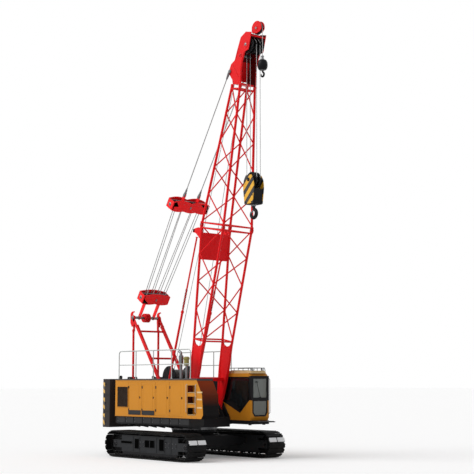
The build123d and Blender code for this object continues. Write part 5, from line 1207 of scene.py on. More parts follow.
def add_hoist_ropes():
    """Hoist rope falls at the boom tip, and the lines that run up the boom from the winches."""
    axle = BLOCK_HIGH.z - MAIN_RADIUS
    reach = MAIN_RADIUS - 0.012
    falls = Form()
    for y in (-FALL_Y, FALL_Y):
        for x in (MAIN.x - reach, MAIN.x + reach):
            falls.pipe([(x, y, axle + 0.05), (x, y, MAIN.z - 0.02)], ROPE_RADIUS, 10)
    low, high = Vector((MAIN.x, 0, axle + 0.3)), Vector((MAIN.x, 0, MAIN.z - 0.4))
    piece("main_rope_falls", falls, ROPE, ("main_hook_block", "main_line", low, high), ("main_falls",))
    ball_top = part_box("aux_ball")[1].z
    fall = Form()
    fall.pipe([(AUX_X, 0, ball_top - 0.05), (AUX_X, 0, AUX.z)], ROPE_RADIUS, 12)
    ends = Vector((AUX_X, 0, ball_top)), Vector((AUX_X, 0, AUX.z - 0.1))
    piece("aux_rope_fall", fall, ROPE, ("aux_hook_block", "aux_line") + ends, ("aux_fall",))
    lines = Form()
    for (x, z), y, radius in ((BOOM_DRUM, MAIN_LINE_Y, 0.28), (HOIST_DRUM, AUX_LINE_Y, 0.2)):
        foot = Vector((x, 0, z))
        lines.pipe([(foot.x - radius * 0.6, y, foot.z + radius * 0.8), at_boom(HEAD_START + 1.03, y, 0.262)],
                   ROPE_RADIUS, 10)
    ends = Vector((FOOT.x - 0.8, 0, 3.2)), at_boom(HEAD_START, 0, 0.2)
    piece("hoist_lines", lines, ROPE, ("upper", "boom") + ends)
    over = Form(BOOM)
    for y in (MAIN_LINE_Y, AUX_LINE_Y):
        around = raised(arc(*MAIN_AXIS, MAIN_RADIUS - 0.012, 100, -68, 14), "y", y * 0.8)
        over.pipe([(GUIDE_AXIS[0], y, 0.262)] + around, ROPE_RADIUS, 10)
    around = raised(arc(*AUX_AXIS, AUX_RADIUS - 0.01, 110, -82, 16), "y", 0.0)
    over.pipe([(MAIN_AXIS[0] + 0.05, 0.09, MAIN_AXIS[1] + MAIN_RADIUS - 0.01)] + around, ROPE_RADIUS, 10)
    piece("head_ropes", over, ROPE, "boom")


def hook_form(x, top, size, thick):
    """Forged hook: shank, round back that swells, open bowl and pointed tip."""
    form = Form()
    centre = top - size * 1.5
    path = [(x, top, 0.26), (x, top - size * 0.35, 0.27)]
    radius = size * 0.72
    for step in range(17):
        angle = math.radians(75 - 285 * step / 16)
        swell = 0.27 + 0.12 * math.sin(math.pi * min(1.0, step / 11.0))
        if step > 11:
            swell = 0.33 - 0.045 * (step - 11)
        path.append((x + radius * math.cos(angle), centre + radius * math.sin(angle), swell))
    rings = []
    points, faces = [], []
    steps = 16
    for index, (px, pz, share) in enumerate(path):
        before, after = path[max(index - 1, 0)], path[min(index + 1, len(path) - 1)]
        way = Vector((after[0] - before[0], 0, after[1] - before[1])).normalized()
        side = Vector((way.z, 0, -way.x))
        rings.append(len(points))
        for step in range(steps):
            a = 2 * math.pi * step / steps
            bulge = side * math.cos(a) * share * size + Vector((0, 1, 0)) * math.sin(a) * min(thick, share * size)
            points.append(Vector((px, 0, pz)) + bulge)
    for near, far in zip(rings, rings[1:]):
        faces += [(near + s, near + (s + 1) % steps, far + (s + 1) % steps, far + s) for s in range(steps)]
    faces += [tuple(range(steps))[::-1], tuple(rings[-1] + s for s in range(steps))]
    form.add(points, faces)
    return form


def add_hook_block():
    """Cheek plates with stripes, side weights, sheaves, tie bolts, and the hook under its swivel."""
    x = MAIN.x
    edge = BLOCK_HIGH.y - 0.015
    top, low = BLOCK_HIGH.z, BLOCK_LOW.z
    axle = top - MAIN_RADIUS - 0.01
    cheeks, weights, wheels, metal = Form(), Form(), Form(), Form()
    outline = [(x - 0.15, top - 0.13), (x + 0.15, top - 0.13), (x + 0.25, top - 0.29), (x + 0.285, top - 0.47),
               (x + 0.285, top - 0.62), (x + 0.215, low + 0.02), (x - 0.215, low + 0.02), (x - 0.285, top - 0.62),
               (x - 0.285, top - 0.47), (x - 0.25, top - 0.29)]
    for side in SIDES:
        cheeks.prism(outline, "y", *layer(side, edge, edge - 0.025))
        metal.lathe([(0.075, -0.002), (0.075, 0.008), (0.05, 0.012), (0, 0.012)], (x, side * edge, axle),
                    (0, side, 0), 6)
        for dx, z in ((-0.2, top - 0.36), (0.2, top - 0.36), (-0.21, low + 0.3), (0.21, low + 0.3), (-0.16, low + 0.07),
                      (0.16, low + 0.07)):
            metal.bolt((x + dx, side * edge, z), (0, side, 0), 0.016, 0.014)
    waist = top - 2 * MAIN_RADIUS - 0.06
    core = [(x - 0.262, waist), (x + 0.262, waist), (x + 0.262, waist - 0.04), (x + 0.2, low), (x - 0.2, low),
            (x - 0.262, waist - 0.04)]
    weights.prism(core, "y", 0.03 - edge, edge - 0.03)
    for z in (low + 0.16, low + 0.34):
        weights.box((x - 0.235, x + 0.235), (0.025 - edge, edge - 0.025), (z - 0.006, z + 0.006))
    for y in (-FALL_Y, FALL_Y):
        wheels.sheave((x, y, axle), MAIN_RADIUS, 0.06)
    metal.cross_bar(x, axle, edge, 0.045, 24)
    for dx in (-0.21, 0.21):
        metal.cross_bar(x + dx, top - 0.33, edge, 0.013, 10)
    piece("block_cheeks", cheeks, HAZARD, "main_hook_block", ("hook_block",), 0.003)
    piece("block_weights", weights, FRAME_BLACK, "main_hook_block", ease=0.004)
    piece("block_sheaves", wheels, DARK_STEEL, "main_hook_block")
    piece("block_metal", metal, DARK_STEEL, "main_hook_block", ease=0.0015)
    neck = Form()
    neck.lathe([(0.0, 0.03), (0.12, 0.03), (0.125, -0.01), (0.09, -0.02), (0.085, -0.06), (0, -0.06)], (x, 0, low),
               (0, 0, 1), 28)
    piece("hook_swivel_nut", neck, STEEL, "main_hook_block", ease=0.002)
    piece("main_hook_forging", hook_form(x, low, 0.205, 0.05), DARK_STEEL, "main_hook_block",
          ("main_hook",))
    latch = Form()
    latch.prism([(x - 0.03, low - 0.2), (x - 0.01, low - 0.19), (x, low - 0.19), (x - 0.13, low - 0.3),
                 (x - 0.145, low - 0.29)], "y", -0.03, 0.03)
    piece("hook_latch", latch, STEEL, "main_hook_block", ease=0.001)


def add_aux_ball():
    """Ball weight with its swivel, wedge socket and hook."""
    low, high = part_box("aux_ball")
    form, metal = Form(), Form()
    x = AUX_X
    top = high.z - 0.16
    bottom = top - 0.36
    radius = (high.y - low.y) / 2
    profile = [(0, bottom)] + [(radius * (0.55 + 0.45 * math.sin(a)), bottom + 0.36 * (0.5 - 0.5 * math.cos(a)))
                              for a in (math.pi * s / 14 for s in range(1, 14))] + [(0.06, top), (0, top)]
    form.lathe([(r, z) for r, z in profile], (x, 0, 0), (0, 0, 1), 40)
    metal.lathe([(0.0, 0.0), (0.058, 0.0), (0.058, 0.05), (0.035, 0.06), (0.035, 0.09), (0.05, 0.1), (0.05, 0.15),
                 (0.0, 0.16)], (x, 0, top), (0, 0, 1), 24)
    metal.cross_bar(x, top + 0.12, 0.06, 0.016, 14)
    metal.lathe([(0.0, 0.01), (0.065, 0.01), (0.06, -0.03), (0, -0.03)], (x, 0, bottom), (0, 0, 1), 24)
    piece("aux_ball_weight", form, DARK_STEEL, "aux_hook_block", ("aux_ball",))
    piece("aux_ball_swivel", metal, STEEL, "aux_hook_block", ease=0.0015)
    piece("aux_hook_forging", hook_form(x, bottom, 0.105, 0.03), DARK_STEEL, "aux_hook_block")


# --- houses ---------------------------------------------------------------------------------
HOUSE_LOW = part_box("house_right")[0]
HOUSE_Y = -HOUSE_LOW.y
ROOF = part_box("roof_plates")[1].z
HOUSE_FRONTS = ((-1, 2.05), (1, 0.48))


def add_service_door(name, side):
    """Hinges, latch, pressed stiffener and seal of one service door, and a blank strip on two."""
    low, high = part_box(name)
    metal, panel, seal = Form(), Form(), Form()
    face = side * HOUSE_Y
    for z in (low.z + 0.18, high.z - 0.18):
        metal.tube((low.x, face, z - 0.05), (low.x, face, z + 0.05), 0.007, steps=12)
        metal.prism(rounded((low.x + 0.004, low.x + 0.06), (z - 0.045, z + 0.045), 0.008), "y",
                    *layer(side, 0, 0.005, face))
        for dz in (-0.025, 0.025):
            metal.bolt((low.x + 0.04, face + side * 0.005, z + dz), (0, side, 0), 0.005, 0.005)
    latch = (high.x - 0.095, (low.z + high.z) / 2 + 0.04)
    metal.prism(rounded((latch[0] - 0.022, latch[0] + 0.022), (latch[1] - 0.034, latch[1] + 0.034), 0.01), "y",
                *layer(side, -0.012, -0.002, face))
    metal.lathe([(0.009, 0), (0.009, 0.006), (0, 0.006)], (latch[0], face - side * 0.002, latch[1] - 0.015),
                (0, side, 0), 14)
    outline = rounded((low.x + 0.07, high.x - 0.15), (low.z + 0.07, high.z - 0.07), 0.05, 5)
    surround(panel, outline, "y", *layer(side, -0.002, 0.004, face), 0.012, 0.012)
    if name in ("right_door_1", "right_door_2"):
        strip = Form()
        plain = rounded((low.x + 0.02, high.x - 0.02), (1.5, 1.66), 0.015)
        strip.prism(plain, "y", face - 0.008, face)
        surround(strip, plain, "y", face - 0.012, face, 0.012, 0.0)
        piece(name + "_blank_strip", strip, BODY_GREY, name, ease=0.001)
    edge = rounded((low.x + 0.004, high.x - 0.004), (low.z + 0.004, high.z - 0.004), 0.012)
    surround(seal, edge, "y", *layer(side, -0.038, -0.03, face), 0.012, 0.004)
    piece(name + "_metal", metal, DARK_STEEL, name, ease=0.001)
    piece(name + "_pressing", panel, ORANGE, name, ease=0.0015)
    piece(name + "_seal", seal, RUBBER, name)


def add_intake():
    """Dark screen, slats and frame laid over the intake of the right-hand house; the flat dark screen is painted shade
    for the depth of the opening.
    """
    x, z = (-2.78, -2.1), (1.77, 2.5)
    face = -HOUSE_Y
    screen, slats, frame = Form(), Form(), Form()
    screen.box(x, (face - 0.004, face + 0.001), z)
    count = 22
    for index in range(count):
        low = z[0] + (z[1] - z[0]) * (index + 0.2) / count
        slat = [(face - 0.016, low), (face - 0.004, low + 0.014), (face - 0.004, low + 0.02),
                (face - 0.016, low + 0.006)]
        slats.prism(slat, "x", *x)
    for index in range(1, 4):
        post = x[0] + (x[1] - x[0]) * index / 4
        slats.box((post - 0.006, post + 0.006), (face - 0.014, face), z)
    surround(frame, [(x[0], z[0]), (x[1], z[0]), (x[1], z[1]), (x[0], z[1])], "y", face - 0.018,
             face + 0.002, 0.0, 0.016)
    # The flat dark screen stands in for the depth of the opening: painted shade.
    piece("intake_shade_screen", screen, RUBBER, "upper")
    piece("intake_slats", slats, BROWN, "upper")
    piece("intake_frame", frame, ORANGE, "upper", ease=0.002)


def add_house_trim():
    """Roof gutters, seams, bolts, steps and grab handles of the houses."""
    gutter, bolts, dark, treads, handle = Form(), Form(), Form(), Form(), Form()
    rear = HOUSE_LOW.x
    for side, front in HOUSE_FRONTS:
        face = side * HOUSE_Y
        gutter.box((rear, front), layer(side, 0, 0.012, face), (ROOF - 0.062, ROOF - 0.045))
        gutter.box((rear, front), layer(side, 0, 0.012, face), (HOUSE_LOW.z, HOUSE_LOW.z + 0.02))
        count = round((front - rear) / 0.28)
        for index in range(count + 1):
            x = rear + 0.03 + (front - rear - 0.06) * index / count
            for y in (side * 0.77, side * (HOUSE_Y - 0.03)):
                bolts.bolt((x, y, ROOF), (0, 0, 1), 0.007, 0.006)
            bolts.bolt((x, face, HOUSE_LOW.z + 0.04), (0, side, 0), 0.006, 0.006)
        for x in [rear + 0.72 * step for step in range(1, int((front - rear) / 0.72) + 1)]:
            dark.box((x - 0.003, x + 0.003), layer(side, 0.745, HOUSE_Y - 0.005), (ROOF, ROOF + 0.002))
    tower = (1.54, 1.98)
    face = -HOUSE_Y
    for step in range(3):
        z = 1.55 + 0.38 * step
        treads.box(tower, (face - 0.004, face + 0.2), (z, z + 0.012))
        for tooth in range(9):
            x = tower[0] + 0.025 + (tower[1] - tower[0] - 0.05) * tooth / 8
            treads.box((x - 0.006, x + 0.006), (face - 0.004, face + 0.19), (z + 0.012, z + 0.022))
        surround(dark, rounded(tower, (z, z + 0.24), 0.02), "y", face - 0.003, face + 0.004, 0.004, 0.01)
    for x in (1.5, 2.02):
        handle.pipe([(x, face, 1.62), (x, face - 0.045, 1.66), (x, face - 0.045, 2.56), (x, face, 2.6)], 0.011, 10)
    for z in (1.78, 2.06, 2.3):
        treads.box((2.06, 2.34), (face - 0.004, face + 0.02), (z, z + 0.05))
    piece("house_gutters", gutter, ORANGE, "upper", ease=0.002)
    piece("house_bolts", bolts, STEEL, "upper")
    piece("house_dark_trim", dark, RUBBER, "upper")
    # The step treads take the cream: a painted highlight on their tops.
    piece("step_treads", treads, HIGHLIGHT_CREAM, "upper", ease=0.001)
    piece("step_handles", handle, RAIL, "upper")


def add_handrails():
    """Round tube railings with clamped posts, base plates and rounded ends."""
    rails, feet = Form(), Form()
    radius, top = 0.018, ROOF + 1.01
    rear = HOUSE_LOW.x + 0.2
    for side, front in ((-1, 1.66), (1, 0.38)):
        y = side * (HOUSE_Y - 0.02)
        bend = 0.12
        route = [(rear, y, ROOF)] + [(rear + bend - bend * math.cos(a), y, top - bend + bend * math.sin(a))
                                     for a in (math.pi / 2 * s / 5 for s in range(6))]
        route += [(front - bend + bend * math.sin(a), y, top - bend + bend * math.cos(a))
                  for a in (math.pi / 2 * s / 5 for s in range(6))] + [(front, y, ROOF)]
        rails.pipe(route, radius, 12)
        rails.tube((rear, y, (ROOF + top) / 2), (front, y, (ROOF + top) / 2), radius * 0.85, steps=12)
        count = round((front - rear) / 1.0)
        for index in range(count + 1):
            x = rear + (front - rear) * index / count
            if 0 < index < count:
                rails.tube((x, y, ROOF), (x, y, top), radius, steps=12)
            feet.prism(rounded((x - 0.045, x + 0.045), (y - 0.018, y + 0.018), 0.008), "z", ROOF, ROOF + 0.008)
            feet.sleeve(radius, radius + 0.008, (x, y, ROOF), (0, 0, 1), 0.05, 14)
            for dx in (-0.033, 0.033):
                feet.bolt((x + dx, y, ROOF + 0.008), (0, 0, 1), 0.007, 0.007)
    piece("railing_tubes", rails, RAIL, "upper", ("handrails",))
    piece("railing_feet", feet, RAIL, "upper")


def add_tail():
    """Striped corner plates, lifting eyes and tie bolts of the counterweight."""
    low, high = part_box("counterweight")
    stripes, metal = Form(), Form()
    reach = 0.18
    for side in SIDES:
        cx, cy = low.x + reach, side * (HOUSE_Y - reach)
        start, turn = (180, 270) if side < 0 else (180, 90)
        flat = [(cx + 0.07, cy + side * (reach + shift)) for shift in (0.003, -0.004)]
        outer = arc(cx, cy, reach + 0.003, start, turn, 10) + flat[:1]
        inner = arc(cx, cy, reach - 0.004, start, turn, 10) + flat[1:]
        for z0, z1 in ((1.06, 1.5), (1.66, 2.1), (2.26, 2.66)):
            stripes.prism(outer + inner[::-1], "z", z0, z1)
        eye = high.z - 0.032
        metal.ring(0.066, 0.034, ((low.x + high.x) / 2, side * 0.75, eye - 0.03), (0, 1, 0), 0.05, 24)
        for z in (1.2, 1.9, 2.6):
            metal.lathe([(0, 0.01), (0.035, 0.01), (0.045, 0.0)], ((low.x + high.x) / 2, side * HOUSE_Y, z),
                        (0, side, 0), 20)
            metal.bolt(((low.x + high.x) / 2, side * (HOUSE_Y + 0.008), z), (0, side, 0), 0.02, 0.018)
    for y in (-0.9, -0.3, 0.3, 0.9):
        for z in (1.2, 1.9, 2.6):
            metal.bolt((low.x, y, z), (-1, 0, 0), 0.02, 0.012)
    piece("tail_stripes", stripes, PALE_HAZARD, "upper")
    piece("tail_metal", metal, DARK_STEEL, "upper", ease=0.001)


DECK_INNER = 0.742


def add_deck_details():
    """Shallow side decks with a lip and tapered brackets, and their toe plates, gussets and bolts."""
    low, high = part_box("side_decks")
    plates, bolts, decks = Form(), Form(), Form()
    for side, front in ((-1, high.x), (1, 0.48)):
        face = side * high.y
        decks.box((low.x, front), sorted((side * DECK_INNER, face)), (1.2, high.z))
        decks.box((low.x, front - 0.025), sorted((side * DECK_INNER, face - side * 0.025)), (1.155, 1.2))
        for index in range(9):
            x = low.x + 0.08 + (front - low.x - 0.3) * index / 8
            decks.prism([(side * DECK_INNER, 1.02), (face - side * 0.12, 1.12), (face - side * 0.12, 1.155),
                         (side * DECK_INNER, 1.155)], "x", x, x + 0.04)
        for step in range(int((front - low.x) / 0.55) + 1):
            x = low.x + 0.06 + 0.55 * step
            if x > front - 0.05:
                continue
            plates.box((x - 0.008, x + 0.008), layer(side, 0, 0.02, face), (1.21, 1.42))
            for dz in (1.25, 1.38):
                bolts.bolt((x + 0.08, face, dz), (0, side, 0), 0.011, 0.012)
        plates.box((low.x, front), layer(side, 0, 0.025, face), (1.2, 1.215))
    piece("deck_boxes", decks, BODY_GREY, "upper", ("side_decks",), 0.003)
    piece("deck_gussets", plates, BODY_GREY, "upper", ease=0.002)
    piece("deck_bolts", bolts, STEEL, "upper")


def add_exhaust():
    """Exhaust stack bent over at its top, and the air cleaner beside it, on the right-hand roof."""
    stack, cleaner = Form(), Form()
    x, y = 0.62, -1.05
    stack.pipe([(x, y, ROOF), (x, y, ROOF + 0.82), (x - 0.02, y, ROOF + 0.92), (x - 0.14, y, ROOF + 0.98)], 0.05, 20)
    stack.lathe([(0.05, 0), (0.085, 0.02), (0.085, 0.3), (0.05, 0.33)], (x, y, ROOF + 0.5), (0, 0, 1), 28)
    x += 0.32
    stack.tube((x, y, ROOF), (x, y, ROOF + 0.5), 0.04, steps=20)
    stack.lathe([(0.0, 0), (0.09, 0), (0.09, 0.012), (0, 0.012)], (x, y, ROOF), (0, 0, 1), 24)
    cleaner.lathe([(0.0, 0), (0.07, 0), (0.09, 0.03), (0.09, 0.2), (0.11, 0.22), (0.11, 0.27), (0.07, 0.31), (0, 0.31)],
                  (x, y, ROOF + 0.46), (0, 0, 1), 32)
    piece("exhaust_stack", stack, STEEL, "upper")
    piece("air_cleaner", cleaner, BRASSY, "upper")


# --- winches, gantry and backstops --------------------------------------------------------------
def add_winches():
    """Drums with their rope windings, ribbed flanges, bolts and end caps."""
    steel, ropes, bolts = Form(), Form(), Form()
    half = 0.45
    for (x, z), barrel, flange, full in ((BOOM_DRUM, 0.26, 0.41, 0.95), (HOIST_DRUM, 0.19, 0.29, 0.9),
                                         (REAR_DRUM, 0.2, 0.31, 0.7)):
        profile = [(0.0, -0.48), (0.07, -0.48), (0.07, -half), (flange - 0.02, -half), (flange, -half + 0.008),
                   (flange, -half + 0.026), (barrel, -half + 0.034)]
        steel.lathe(mirrored(profile), (x, 0, z), (0, 1, 0), 48)
        for side in SIDES:
            for index in range(10):
                turn = 2 * math.pi * index / 10
                way = Vector((math.cos(turn), 0, math.sin(turn)))
                centre = Vector((x, side * (half + 0.006), z))
                steel.tube(centre + way * 0.09, centre + way * (flange - 0.03), 0.012, steps=8)
                bolts.bolt(centre + way * 0.085 + Vector((0, side * 0.004, 0)), (0, side, 0), 0.009, 0.01)
        pitch = 2.2 * ROPE_RADIUS
        turns = int(2 * (half - 0.045) * full / pitch)
        route = []
        for step in range(turns * 24 + 1):
            angle = 2 * math.pi * step / 24
            radius = barrel + ROPE_RADIUS
            route.append((x + radius * math.cos(angle), -half + 0.05 + pitch * step / 24, z + radius * math.sin(angle)))
        ropes.pipe(route, ROPE_RADIUS, 6)
    piece("winch_bodies", steel, FRAME_BLACK, "upper", ("winch_drums",))
    piece("winch_ropes", ropes, GREASED, "upper")
    piece("winch_bolts", bolts, STEEL, "upper")


WEB_INNER, WEB_OUTER = 0.48, 0.74


def add_gantry():
    """Welded legs, round struts, horned head plates, shaft with its sheaves, and pins."""
    legs, plates, wheels, pins = Form(), Form(), Form(), Form()
    head, foot = GANTRY_PIN, GANTRY_FOOT
    way = (head - foot).normalized()
    run = (head - foot).length
    place = tilted(foot, math.atan2(way.z, way.x))
    legs.place = place
    strut_foot = 2.78
    for side in SIDES:
        y = side * 0.58
        section = rounded((y - 0.045, y + 0.045), (-0.06, 0.06), 0.014, 3)
        legs.prism(section, "x", 0.06, run - 0.4)
        tip = layer(side, 0.586, 0.625)
        legs.prism(rounded(tip, (-0.06, 0.06), 0.01, 2), "x", run - 0.42, run - 0.02)
        for along in (0.35, run - 0.42):
            legs.prism(rounded((y - 0.052, y + 0.052), (-0.067, 0.067), 0.016, 3), "x", along - 0.03, along + 0.03)
        pins.tube((foot.x, side * WEB_INNER, foot.z), (foot.x, side * 0.755, foot.z), 0.045, steps=28)
        plates.sleeve(0.045, 0.085, (foot.x, y - 0.045, foot.z), (0, 1, 0), 0.09, 32)
        plates.sleeve(0.05, 0.08, (head.x, min(side * 0.537, side * 0.577), head.z), (0, 1, 0), 0.04, 32)
        plates.tube((head.x, y, strut_foot + 0.06), (head.x, y, head.z - 0.44), 0.042, steps=24)
        plates.lathe([(0.044, -0.03), (0.052, -0.03), (0.052, 0.03), (0.044, 0.03)], (head.x, y, head.z - 0.5),
                     (0, 0, 1), 24)
        fork = layer(side, 0.535, 0.577)
        plates.prism(rounded((head.x - 0.045, head.x + 0.045), (head.z - 0.52, head.z), 0.02, 3), "y", *fork)
        plates.sleeve(0.04, 0.078, (head.x, y - 0.045, strut_foot), (0, 1, 0), 0.09, 28)
        pins.tube((head.x, side * WEB_INNER, strut_foot), (head.x, side * 0.755, strut_foot), 0.04, steps=24)
        for px, pz, size in ((foot.x, foot.z, 0.045), (head.x, strut_foot, 0.04)):
            pins.prism(rounded((px - 0.02, px + 0.02), (pz - size - 0.05, pz), 0.008), "y", *layer(side, 0.74, 0.75))
            pins.bolt((px, side * 0.75, pz - size - 0.03), (0, side, 0), 0.009, 0.01)
        horn = [(0.12, -0.06), (0.06, -0.33), (-0.06, -0.35), (-0.15, -0.2), (-0.15, 0.06)]
        horn += arc(-0.02, 0.1, 0.13, 165, 95, 4) + [(0.09, 0.24), (0.11, 0.195), (0.02, 0.175),
                                                     (0.0, 0.11), (0.1, 0.04)]
        plates.prism([(head.x + dx, head.z + dz) for dx, dz in horn], "y", *layer(side, 0.6, 0.625))
        pins.lathe([(0.075, 0), (0.075, 0.012), (0.05, 0.02), (0.05, 0.03), (0, 0.03)],
                   (head.x, side * 0.625, head.z), (0, side, 0), 28)
        pins.bolt_ring((head.x, side * 0.637, head.z), 0.062, 4, side, 0.006, 0.008, math.pi / 4)
    for height in (3.55, 4.58):
        along = (height - foot.z) / way.z
        legs.cross_bar(along, 0, 0.58, 0.036, 20)
        for side in SIDES:
            legs.tube((along, side * 0.54, 0), (along, side * 0.51, 0), 0.05, 0.038, 20)
    pins.cross_bar(head.x, head.z, 0.64, 0.05, 28)
    for y in (-0.09, -0.03, 0.03, 0.09):
        wheels.sheave((head.x, y, head.z), 0.17, 0.04, ribs=5)
    piece("gantry_leg_beams", legs, RED, "upper", ("gantry_legs",), 0.002)
    piece("gantry_plates", plates, RED, "upper", ("gantry_struts", "gantry_head"), 0.002)
    piece("gantry_sheaves", wheels, RED, "upper")
    piece("gantry_pins", pins, STEEL, "upper", ease=0.0015)


def add_backstops():
    """Telescoping backstops with their springs, sleeves and foot eyes."""
    tubes, springs = Form(), Form()
    start = Vector((-0.69, 0, 2.6))
    end = at_boom(6.026, 0, 0.829)
    way = (end - start).normalized()
    run = (end - start).length
    for side in SIDES:
        y = Vector((0, side * 0.64, 0))
        low, high = start + y, end + y
        tubes.tube(low + way * 0.05, low + way * run / 2, 0.042, steps=24)
        tubes.tube(low + way * (run / 2 - 0.02), high, 0.03, steps=20)
        tubes.lathe([(0.042, 0), (0.056, 0.01), (0.056, 0.08), (0.042, 0.09)], low + way * (run / 2 - 0.08), way, 24)
        tubes.lathe([(0.0, 0), (0.05, 0), (0.05, 0.02), (0, 0.02)], high - way * 0.02, way, 24)
        tubes.lathe([(0.0, -0.04), (0.06, -0.04), (0.06, 0.04), (0, 0.04)], low, (0, 1, 0), 24)
        across = way.cross(Vector((0, 1, 0))).normalized()
        route = []
        for step in range(14 * 16 + 1):
            angle = 2 * math.pi * step / 16
            along = run / 2 + 0.06 + 0.75 * step / (14 * 16)
            route.append(low + way * along + (across * math.cos(angle) + Vector((0, 1, 0)) * math.sin(angle)) * 0.042)
        springs.pipe(route, 0.007, 6)
    piece("backstop_tubes", tubes, RED, "upper", ("backstops",), 0.001)
    piece("backstop_springs", springs, DARK_STEEL, "upper")


def add_frame_details():
    """Bolted doubler rings on the twin webs of the upper frame, and the pins of the boom's feet."""
    plates, pins, bolts = Form(), Form(), Form()
    for side in SIDES:
        for y, way in ((side * WEB_OUTER, side), (side * WEB_INNER, -side)):
            for x, z, bore in ((FOOT.x, FOOT.z, 0.13), (*GANTRY_FOOT_XZ, 0.1)):
                plates.lathe([(bore * 0.4, -0.004), (bore, -0.004), (bore, 0.012), (bore * 0.4, 0.012)], (x, y, z),
                             (0, way, 0), 36)
                bolts.bolt_ring((x, y + way * 0.012, z), bore * 0.78, 6, way, 0.008, 0.01)
        pins.tube((FOOT.x, side * 0.475, FOOT.z), (FOOT.x, side * 0.765, FOOT.z), 0.045, steps=32)
        pins.tube((FOOT.x, side * 0.765, FOOT.z), (FOOT.x, side * 0.775, FOOT.z), 0.055, steps=6)
    piece("web_doublers", plates, FRAME_BLACK, "upper", ease=0.002)
    piece("boom_foot_pins", pins, STEEL, "upper", ("foot_pins",), 0.001)
    piece("web_bolts", bolts, STEEL, "upper")


# --- cab -----------------------------------------------------------------------------------------
CAB_LOW, CAB_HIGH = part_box("cab_shell")
CAB_FLOOR = CAB_LOW.z + 0.05
SEAT_Y = (CAB_LOW.y + CAB_HIGH.y) / 2
SIDE_PANE = [(0.78, 2.84), (0.78, 2.0), (1.33, 2.0), (1.7, 1.62), (2.2, 2.06), (2.2, 2.78), (2.13, 2.84)]
UPPER_PANE = [(0.84, 2.1), (1.52, 2.1), (1.52, 2.82), (0.84, 2.82)]
LOWER_PANE = [(0.94, 1.5), (1.42, 1.5), (1.5, 1.62), (1.5, 2.03), (0.86, 2.03), (0.86, 1.62)]
REAR_PANE = [(0.86, 2.15), (1.5, 2.15), (1.5, 2.8), (0.86, 2.8)]
DOOR_PANE = [(1.26, 1.98), (2.0, 1.98), (2.0, 2.78), (1.26, 2.78)]


def add_cab_shell():
    """Window seals and frames, roof cap and rail, lamps, wiper and handles."""
    seals, frames, roof, metal, lamps = Form(), Form(), Form(), Form(), Form()
    inner, outer, front, rear = CAB_LOW.y, CAB_HIGH.y, CAB_HIGH.x, CAB_LOW.x
    surround(seals, SIDE_PANE, "y", inner - 0.006, inner + 0.03, 0.022, 0.02)
    surround(seals, REAR_PANE, "x", rear - 0.006, rear + 0.03, 0.02, 0.02)
    surround(frames, UPPER_PANE, "x", front - 0.03, front + 0.012, 0.03, 0.07)
    surround(frames, LOWER_PANE, "x", front - 0.03, front + 0.008, 0.02, 0.03)
    frames.box((front - 0.01, front + 0.014), (0.8, 1.56), (2.045, 2.075))
    cap = rounded((rear + 0.06, front - 0.06), (inner + 0.05, outer - 0.05), 0.09, 5)
    rise = CAB_HIGH.z
    for low, high, shrink in ((rise - 0.004, rise + 0.07, 0.0), (rise + 0.07, rise + 0.095, 0.03)):
        roof.prism(offset(cap, -shrink), "z", low, high)
    roof.prism(rounded((rear + 0.4, rear + 1.0), (inner + 0.2, outer - 0.2), 0.05, 4), "z", rise + 0.095, rise + 0.115)
    top = rise + 0.19
    for y in (inner + 0.09, outer - 0.09):
        route = [(rear + 0.16, y, rise + 0.09), (rear + 0.2, y, top), (front - 0.14, y, top),
                 (front - 0.1, y, rise + 0.09)]
        metal.pipe(route, 0.013, 10)
        for x in (rear + 0.75, rear + 1.25):
            metal.tube((x, y, rise + 0.09), (x, y, top), 0.011, steps=10)
    metal.tube((front - 0.14, inner + 0.09, top), (front - 0.14, outer - 0.09, top), 0.012, steps=10)
    for y in (inner + 0.2, outer - 0.2):
        lamps.lathe([(0.0, 0.02), (0.045, 0.015), (0.05, 0.0), (0.05, -0.03)], (front - 0.1, y, rise + 0.14),
                    (1, 0, 0), 28)
        metal.lathe([(0.054, 0.004), (0.056, -0.03), (0.04, -0.07), (0, -0.075)], (front - 0.1, y, rise + 0.14),
                    (1, 0, 0), 28)
    metal.pipe([(front + 0.02, 1.18, 2.14), (front + 0.03, 1.08, 2.42), (front + 0.03, 1.0, 2.72)], 0.008, 8)
    metal.box((front + 0.02, front + 0.035), (0.94, 1.07), (2.66, 2.69))
    metal.lathe([(0.03, 0.0), (0.03, 0.03), (0, 0.035)], (front, 1.18, 2.13), (1, 0, 0), 16)
    metal.pipe([(front, outer - 0.02, 1.55), (front + 0.07, outer - 0.02, 1.6), (front + 0.07, outer - 0.02, 2.76),
                (front, outer - 0.02, 2.81)], 0.012, 10)
    metal.pipe([(1.13, outer, 1.6), (1.13, outer + 0.06, 1.65), (1.13, outer + 0.06, 2.3),
                (1.13, outer, 2.35)], 0.011, 10)
    frames.prism([(0.72, 2.86), (0.72, 1.99), (1.7, 1.59), (1.7, 1.63), (1.33, 2.0), (0.77, 2.01), (0.77, 2.86)], "y",
                 inner - 0.005, inner + 0.01)
    frames.box((2.17, front + 0.012), (inner - 0.006, inner + 0.012), (2.04, 2.88))
    frames.box((front - 0.03, front + 0.012), (inner - 0.006, 0.83), (2.04, 2.88))
    piece("cab_window_seals", seals, RUBBER, "upper", ease=0.0015)
    piece("cab_front_frames", frames, FRAME_BLACK, "upper", ease=0.003)
    # The roof cap takes the cream: a painted highlight on the top of the cab.
    piece("cab_roof_cap", roof, HIGHLIGHT_CREAM, "upper", ease=0.008)
    piece("cab_metalwork", metal, DARK_STEEL, "upper", ease=0.001)
    piece("cab_lamp_lenses", lamps, LENS, "upper")


